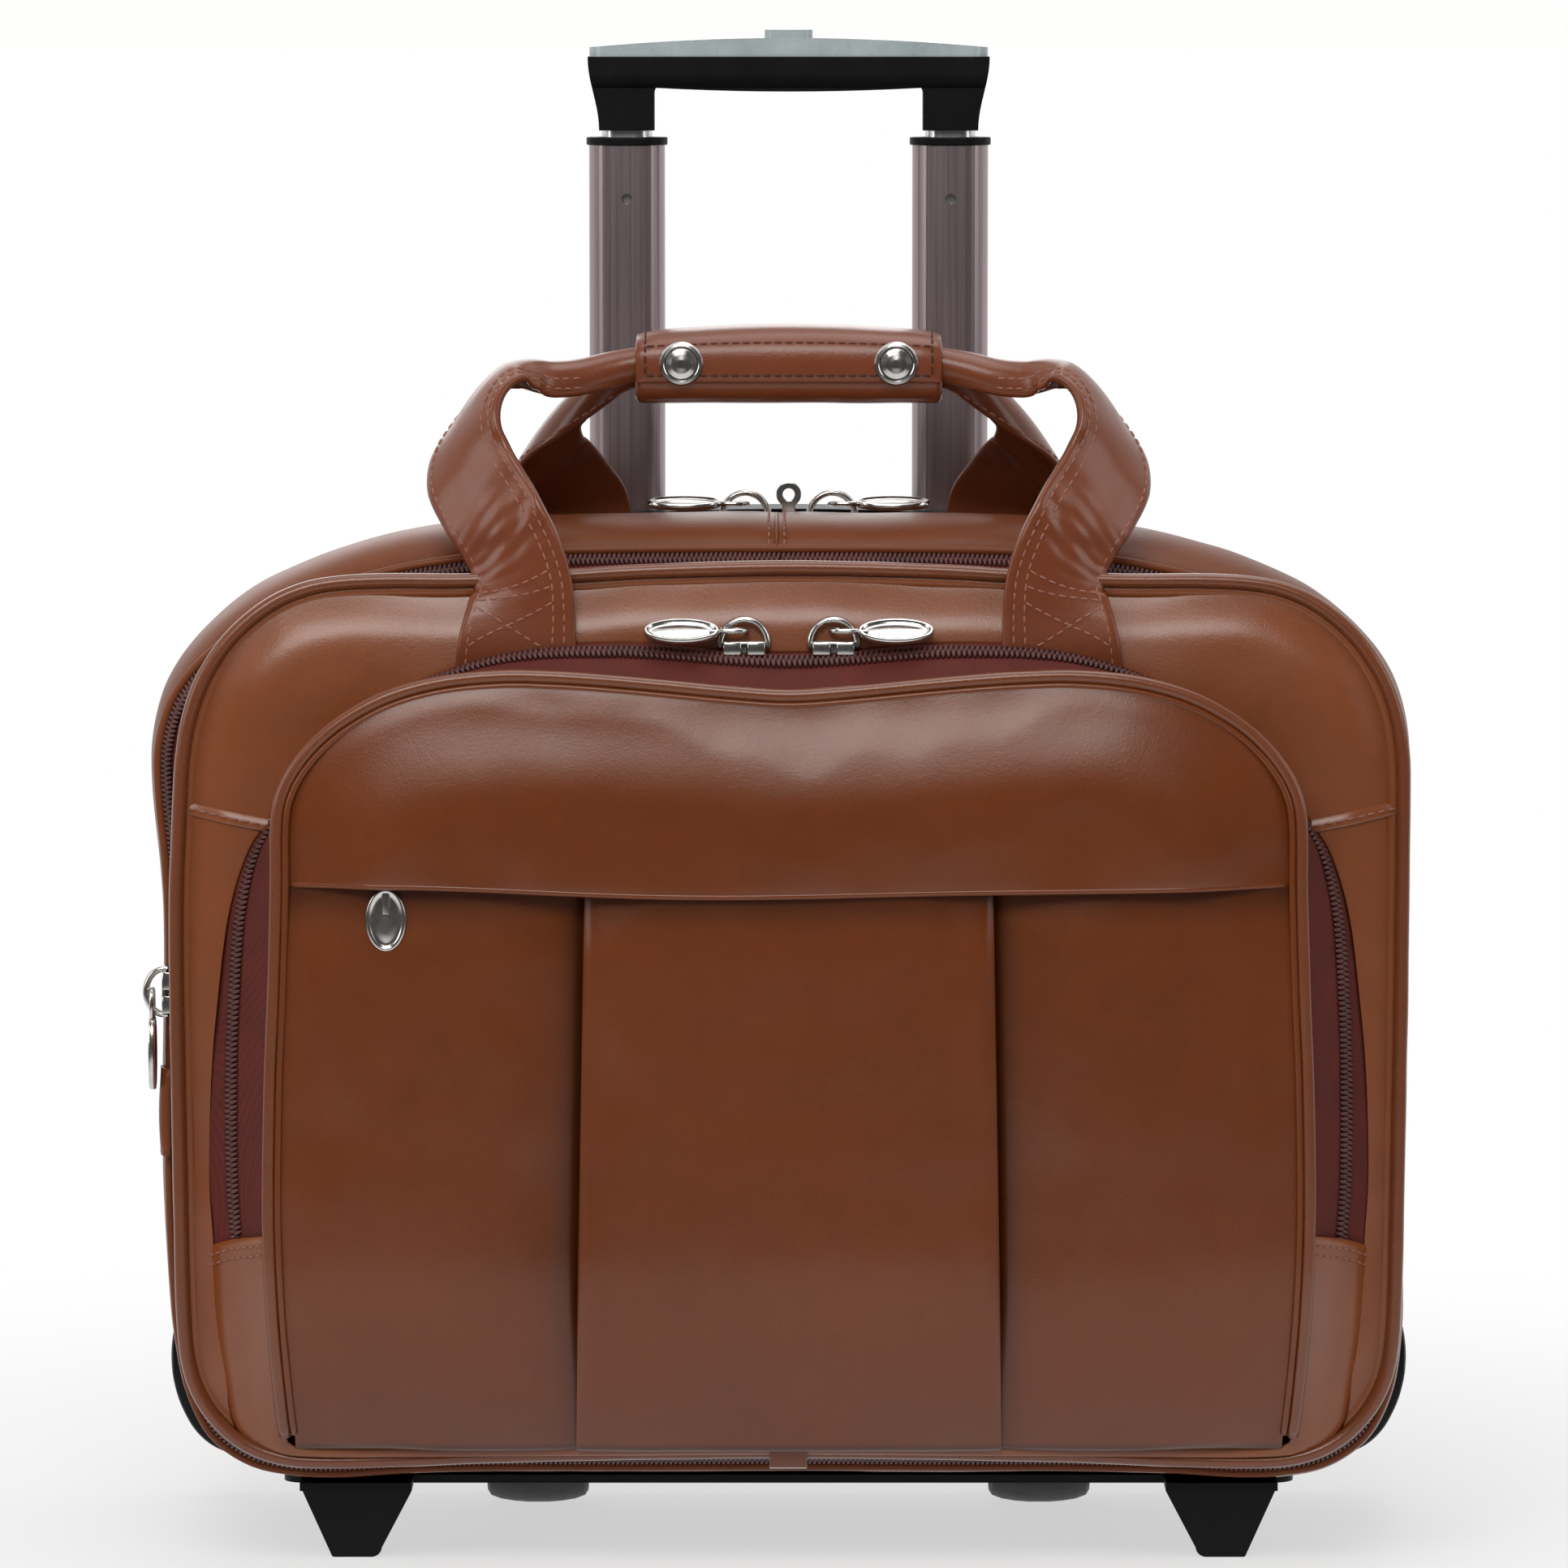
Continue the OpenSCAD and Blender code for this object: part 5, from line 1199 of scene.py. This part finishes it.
def coin(length, width, thick, rim=1.3):
    """Oval pull plate with a raised round rim and a softly domed bare face."""
    steps = [(-length * 0.46, 0.30), (-length * 0.3, 0.28), (-length * 0.18, 0.22), (-rim * 2.2, 0.10),
             (-rim * 1.5, 0.10), (-rim * 1.15, 0.24), (-rim * 0.75, 0.5), (-rim * 0.3, 0.5), (0, 0.28)]
    x, y = oval(length, width, 48)
    rows = []
    for o, h in steps + [(o, -h) for o, h in reversed(steps)]:
        k, k2 = (max(0.02, 1 + 2 * o / size) for size in (length, width))
        rows.append(xyz(x * k, y * (max(k2, k * 0.55) if o < -rim * 2 else k2), h * thick))
    return solid(rows)


def turn(v, axis, degrees):
    return v @ np.array(Matrix.Rotation(math.radians(degrees), 3, axis)).T


def block(lo, hi, r):
    """Box with rounded edges, as a loft of rounded rectangles along Z."""
    c, s = np.cos(circle(24)), np.sin(circle(24))
    cx, cy, hx, hy = (lo[0] + hi[0]) / 2, (lo[1] + hi[1]) / 2, (hi[0] - lo[0]) / 2, (hi[1] - lo[1]) / 2
    rows = []
    for z, cut in ((lo[2], r), (lo[2] + r * 0.3, r * 0.3), (lo[2] + r, 0), (hi[2] - r, 0),
                   (hi[2] - r * 0.3, r * 0.3), (hi[2], r)):
        rows.append(xyz(cx + np.sign(c) * max(hx - cut - r, 0) + r * c,
                        cy + np.sign(s) * max(hy - cut - r, 0) + r * s, z))
    return solid(rows)


def slider(thick, arch=8.6):
    """Slider body with its wings, bridge and crown."""
    parts = []
    for z0, z1 in ((0.35, 1.9), (-thick - 1.6, -thick - 0.4)):
        c, s = np.cos(circle(40)), np.sin(circle(40))
        x = 7.8 * np.sign(c) * np.abs(c) ** 0.55
        y = (4.3 - 0.09 * x) * np.sign(s) * np.abs(s) ** 0.5
        parts.append(solid([xyz(x * k, y * k, z) for z, k in ((z0, 0.93), (z0 + 0.25, 1.0), (z1 - 0.5, 1.0),
                                                              (z1 - 0.15, 0.95), (z1, 0.86))]))
    parts.append(block((-2.0, -1.1, -thick - 0.8), (2.0, 1.1, 0.8), 0.3))
    for y in (-4.5, 4.5):
        parts += [block((x - 3.2, y - 0.7, -3.0), (x + 3.2, y + 0.7, 1.7), 0.5) for x in (-4.3, 4.3)]
    # Crown: one arched bail from end to end, which the eye of the pull hangs on
    ang = np.radians(np.linspace(-8, 188, 30))
    parts.append(tube(xyz(8.4 * np.cos(ang), 0, 1.0 + arch * np.sin(ang)), 1.25, sides=14, squeeze=1.4))
    return parts


def pull(shift, tilt):
    """Eye and oval plate of a pull that lies along local minus X from its axis."""
    v, f = coin(27.0, 12.8, 2.4)
    x, y = oval(11.0, 6.4, 30, 2.3)
    parts = [(turn(v, "X", tilt) + [-22.4, shift, 0.0], f),
             tube(xyz(x - 4.7, y, 0), 0.95, (0, 0, 1), 12, True)]
    if shift:
        parts.append(block((-12.5, shift - 1.4, -0.8), (-8.6, 1.6, 0.8), 0.5))
    return parts


def place(parts, where, flip=False, lean=0):
    """Parts turned about Y by lean, mirrored where flip says so, and moved."""
    out = []
    for v, f in parts:
        v = turn(v, "Y", lean) if lean else v
        out.append((v * [-1, 1, 1] + where, flipped(f)) if flip else (v + where, f))
    return out


def hardware(name, parts, body, node):
    ob = add(name, join(parts), NICKEL, body)
    modifier(ob, "EDGE_SPLIT", split_angle=math.radians(50))
    bake(ob)
    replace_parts(ob, node)


for side, sx in SIDES:
    # Zip, its depth and height, the slider's body and thickness, and the shift and tilt of the pull's plate
    for label, y, z, body, thick, shift, tilt in (
            ("main", MAIN_ZIP_Y, MAIN_ZIP_Z, "case", 4.0, 0.0, 13.0),
            ("pocket", POCKET_ZIP_Y, POCKET_ZIP_Z, "front_section", 8.0, -5.2, 34.0)):
        low, high = (sx * SLOT_X, y, z), (sx * SLOT_X, y, z + PULL_RISE)
        hardware(f"{label}_slider_{side}_cast", place(slider(thick), low, sx > 0), body,
                 f"{label}_slider_{side}")
        hardware(f"{label}_pull_{side}_cast", place(pull(shift, tilt), high, sx > 0), f"pull_{label}_{side}",
                 f"{label}_pull_{side}")

side_y = sum(corner.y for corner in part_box("side_slider")) / 2 / MM
at = (SIDE_ZIP_X, side_y, SIDE_ZIP_Z)
hardware("side_slider_cast", place(slider(6.0, 6.9), at, lean=-90), "mid_section", "side_slider")
at = (SIDE_ZIP_X - PULL_RISE, side_y, SIDE_ZIP_Z)
hardware("side_pull_cast", place(pull(0.0, 0.0), at, lean=-90), "pull_side", "side_pull")

# Flap pull: a flat oval drop hung on the hidden slider
v, f = coin(22.5, 14.5, 1.7, 1.4)
drop = (turn(turn(v, "Z", 90), "X", 90) + [FLAP_PULL_X, POCKET_Y - 2.2, FLAP_ZIP_Z - 16.75], f)
v, f = block((FLAP_PULL_X - 1.5, -15, 0), (FLAP_PULL_X + 1.5, -1.2, 1.3), 0.4)
neck = (xyz(v[:, 0], POCKET_Y - 1.4 - v[:, 2], FLAP_ZIP_Z + v[:, 1]), f)
ang = circle(24)
rows = [xyz(FLAP_PULL_X + r * np.cos(ang), POCKET_Y - y, FLAP_ZIP_Z + r * np.sin(ang))
        for y, r in ((1.2, 1.25), (1.2, 2.3), (1.5, 2.6), (2.2, 2.6), (2.5, 2.3), (2.5, 1.25))]
eye = (np.vstack(rows), loft_faces(6, 24, True, True))
hardware("flap_pull_cast", [drop, neck, eye], "pull_flap", "flap_pull")

# Leather keeper under the side pull
KEEPER_LOW, KEEPER_TALL = 150, 32
rows = []
for z in np.linspace(KEEPER_LOW, KEEPER_LOW + KEEPER_TALL, 9):
    bulge = 0.8 * math.sin(math.pi * (z - KEEPER_LOW) / KEEPER_TALL)
    x = midf_o.p[np.argmin(np.abs(midf_o.p[:, 1] - z) + 1000 * (midf_o.p[:, 0] > 0)), 0]
    rows.append([(x + 1.6, -47.5, z), (x - 0.6 - bulge, -46.0, z), (x - 1.6 - bulge, -43.5, z),
                 (x - 1.9 - bulge, -40.0, z), (x - 2.4, -36.0, z)])
keeper = loft("side_zip_keeper", rows, LEATHER_ROLL)
modifier(keeper, "SOLIDIFY", thickness=1.4 * MM, offset=0.0)
bake(keeper)
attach(keeper, "mid_section")

# Corner guards: moulded shells round the lower corners of the back, thinning out towards their upper ends

GUARD = [(223.6, 88), (226.6, 82), (229.0, 75.5), (230.1, 68), (230.1, 61), (229.2, 54.5), (226.8, 46.4),
         (221.6, 36.8), (214, 30.2), (203, 26.6), (190, 25.4), (176, 25.2)]
y0, y1 = REAR_Y + 1.4, BACK_Y - 0.4
# Section of a guard: share of the way from the leather to its face, and depth
GUARD_SECTION = ((0, y0), (0.7, y0), (0.93, y0 + 0.7), (1, y0 + 2.4), (1, 60), (1, y1 - 2.4),
                 (0.93, y1 - 0.7), (0.7, y1), (0, y1))
face = resample(catmull(GUARD, False, 12), 44)
hug = resample(np.array([p for p in rear_o.p[:N // 2] if p[1] < GUARD[0][1] and p[0] > GUARD[-1][0]]), 44)
for side, sx in SIDES:
    v, f = solid([[(sx * (b[0] + (a[0] - b[0]) * k), y, b[1] + (a[1] - b[1]) * k) for k, y in GUARD_SECTION]
                  for a, b in zip(face, hug)])
    guard = add(f"corner_guard_{side}_shell", (v, f if sx < 0 else flipped(f)), BLACK, "case")
    modifier(guard, "EDGE_SPLIT", split_angle=math.radians(50))
    bake(guard)
    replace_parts(guard, f"corner_guard_{side}")

# Finishes of the CAD nodes that stay, and the width of their rounded edges

FINISH = {
    BLACK: ["base_tray", "front_foot_left", "front_foot_right", "wheel_housing_left", "wheel_housing_right",
            "sleeve_bezel", "sleeve_bracket", "outer_collars", "outer_plugs", "inner_plugs", "trolley_grip",
            "wheel_left", "wheel_right"],
    TYRE: ["tyre_left", "tyre_right"],
    TUBE: ["outer_tubes"],
    INNER: ["inner_tubes"],
    CAP: ["grip_cap", "release_button"],
    GREY: ["trolley_sleeves"],
    NICKEL: ["housing_screws", "axle_left", "axle_right", "lock_ring", "snap_caps", "flap_slider"],
}
SOFT_EDGES = {"trolley_grip": 1.2, "grip_cap": 1.4, "front_foot_left": 1.6, "front_foot_right": 1.6,
              "outer_collars": 0.5, "sleeve_bezel": 0.8, "lock_ring": 0.5, "base_tray": 0.6,
              "release_button": 0.5}
for mat, names in FINISH.items():
    for name in names:
        ob = nodes[name]
        ob.data.materials.clear()
        ob.data.materials.append(mat)
        if name in SOFT_EDGES:
            modifier(ob, "WELD", merge_threshold=1e-6)
            modifier(ob, "BEVEL", width=SOFT_EDGES[name] * MM, segments=3, limit_method="ANGLE",
                     angle_limit=math.radians(40), harden_normals=False)
        ob.data.polygons.foreach_set("use_smooth", np.zeros(len(ob.data.polygons), bool))

# Stage, light and camera, in metres. What is seen is white; reflections find white under and behind the
# object, and a dim room in front of it.

DIM_ROOM = 0.07
floor = primitive("floor", bmesh.ops.create_grid, x_segments=8, y_segments=8, size=60.0)
pale = bpy.data.materials.new("floor_pale")
pale.use_nodes = True
pale.node_tree.nodes.clear()
k = Tree(pale.node_tree)
coord = k.new("ShaderNodeTexCoord").outputs["Object"]
far = k.new("ShaderNodeVectorMath", {0: coord}, operation="LENGTH").outputs["Value"]
glossy, seen = k.rays()
# Far from the object the floor runs out into the white of the backdrop
share = k.math("MAXIMUM", k.math("MULTIPLY", seen, k.ease(far, 0.15, 0.75, 0.6)), glossy)
rear_half = k.ease(k.new("ShaderNodeSeparateXYZ", {0: coord}).outputs["Y"], -0.1, 0.4)
dim = k.span(k.math("MAXIMUM", k.ease(far, 1.25, 0.55), rear_half), DIM_ROOM)
glow = k.new("ShaderNodeEmission", {"Strength": k.math("MAXIMUM", dim, seen)})
plain = k.new("ShaderNodeBsdfDiffuse", {"Color": (0.8, 0.8, 0.8, 1)})
mixer = k.new("ShaderNodeMixShader", {0: share, 1: plain.outputs[0], 2: glow.outputs[0]})
k.new("ShaderNodeOutputMaterial", {0: mixer.outputs[0]})
floor.data.materials.append(pale)

world = scene.world = bpy.data.worlds.new("studio")
world.use_nodes = True
backdrop = world.node_tree.nodes["Background"].inputs
backdrop["Color"].default_value = (1.0, 0.995, 0.985, 1)
k = Tree(world.node_tree)
split = k.new("ShaderNodeSeparateXYZ", {0: k.new("ShaderNodeTexCoord").outputs["Generated"]})
shine = k.span(k.ease(split.outputs["Y"], -0.55, 0.35), DIM_ROOM)
glossy, seen = k.rays()
level = k.math("MULTIPLY", k.span(seen, 0.22), k.math("SUBTRACT", 1.0, glossy))
k.t.links.new(k.math("MULTIPLY_ADD", shine, glossy, level), backdrop["Strength"])

WARM, PALE, WHITE = (1.0, 0.985, 0.96), (1.0, 0.99, 0.975), (1, 1, 1)
for name, where, aim, size, power, colour in (
        ("key", (-0.3, -1.75, 1.6), (0, -0.04, 0.25), (1.3, 0.75), 25, WARM),
        ("left", (-1.9, -0.9, 1.0), (0, -0.02, 0.22), (0.8, 1.2), 10, PALE),
        ("right", (1.9, -0.9, 1.0), (0, -0.02, 0.22), (0.8, 1.2), 8, PALE),
        ("top", (0.1, -0.1, 2.2), (0, 0, 0.2), (1.8, 1.0), 15, WHITE),
        ("back", (-0.4, 2.0, 1.3), (0, 0, 0.25), (1.6, 1.2), 9, WHITE)):
    lamp = bpy.data.lights.new(name, "AREA")
    lamp.shape, lamp.energy, lamp.color = "RECTANGLE", power, colour
    lamp.size, lamp.size_y = size
    ob = bpy.data.objects.new(name, lamp)
    ob.location, ob.rotation_mode = where, "QUATERNION"
    ob.rotation_quaternion = (Vector(aim) - Vector(where)).to_track_quat("-Z", "Y")
    scene.collection.objects.link(ob)

lens = bpy.data.cameras.new("photo_view")
lens.sensor_width, lens.lens = 36.0, 193.97
lens.clip_start, lens.clip_end = 0.05, 200
camera = bpy.data.objects.new("photo_view", lens)
camera.location, camera.rotation_euler = (-0.00173, -3.091, 0.579), (math.radians(84.5), 0, 0)
scene.collection.objects.link(camera)
scene.camera = camera
scene.view_settings.view_transform = "Standard"

bpy.context.view_layer.update()
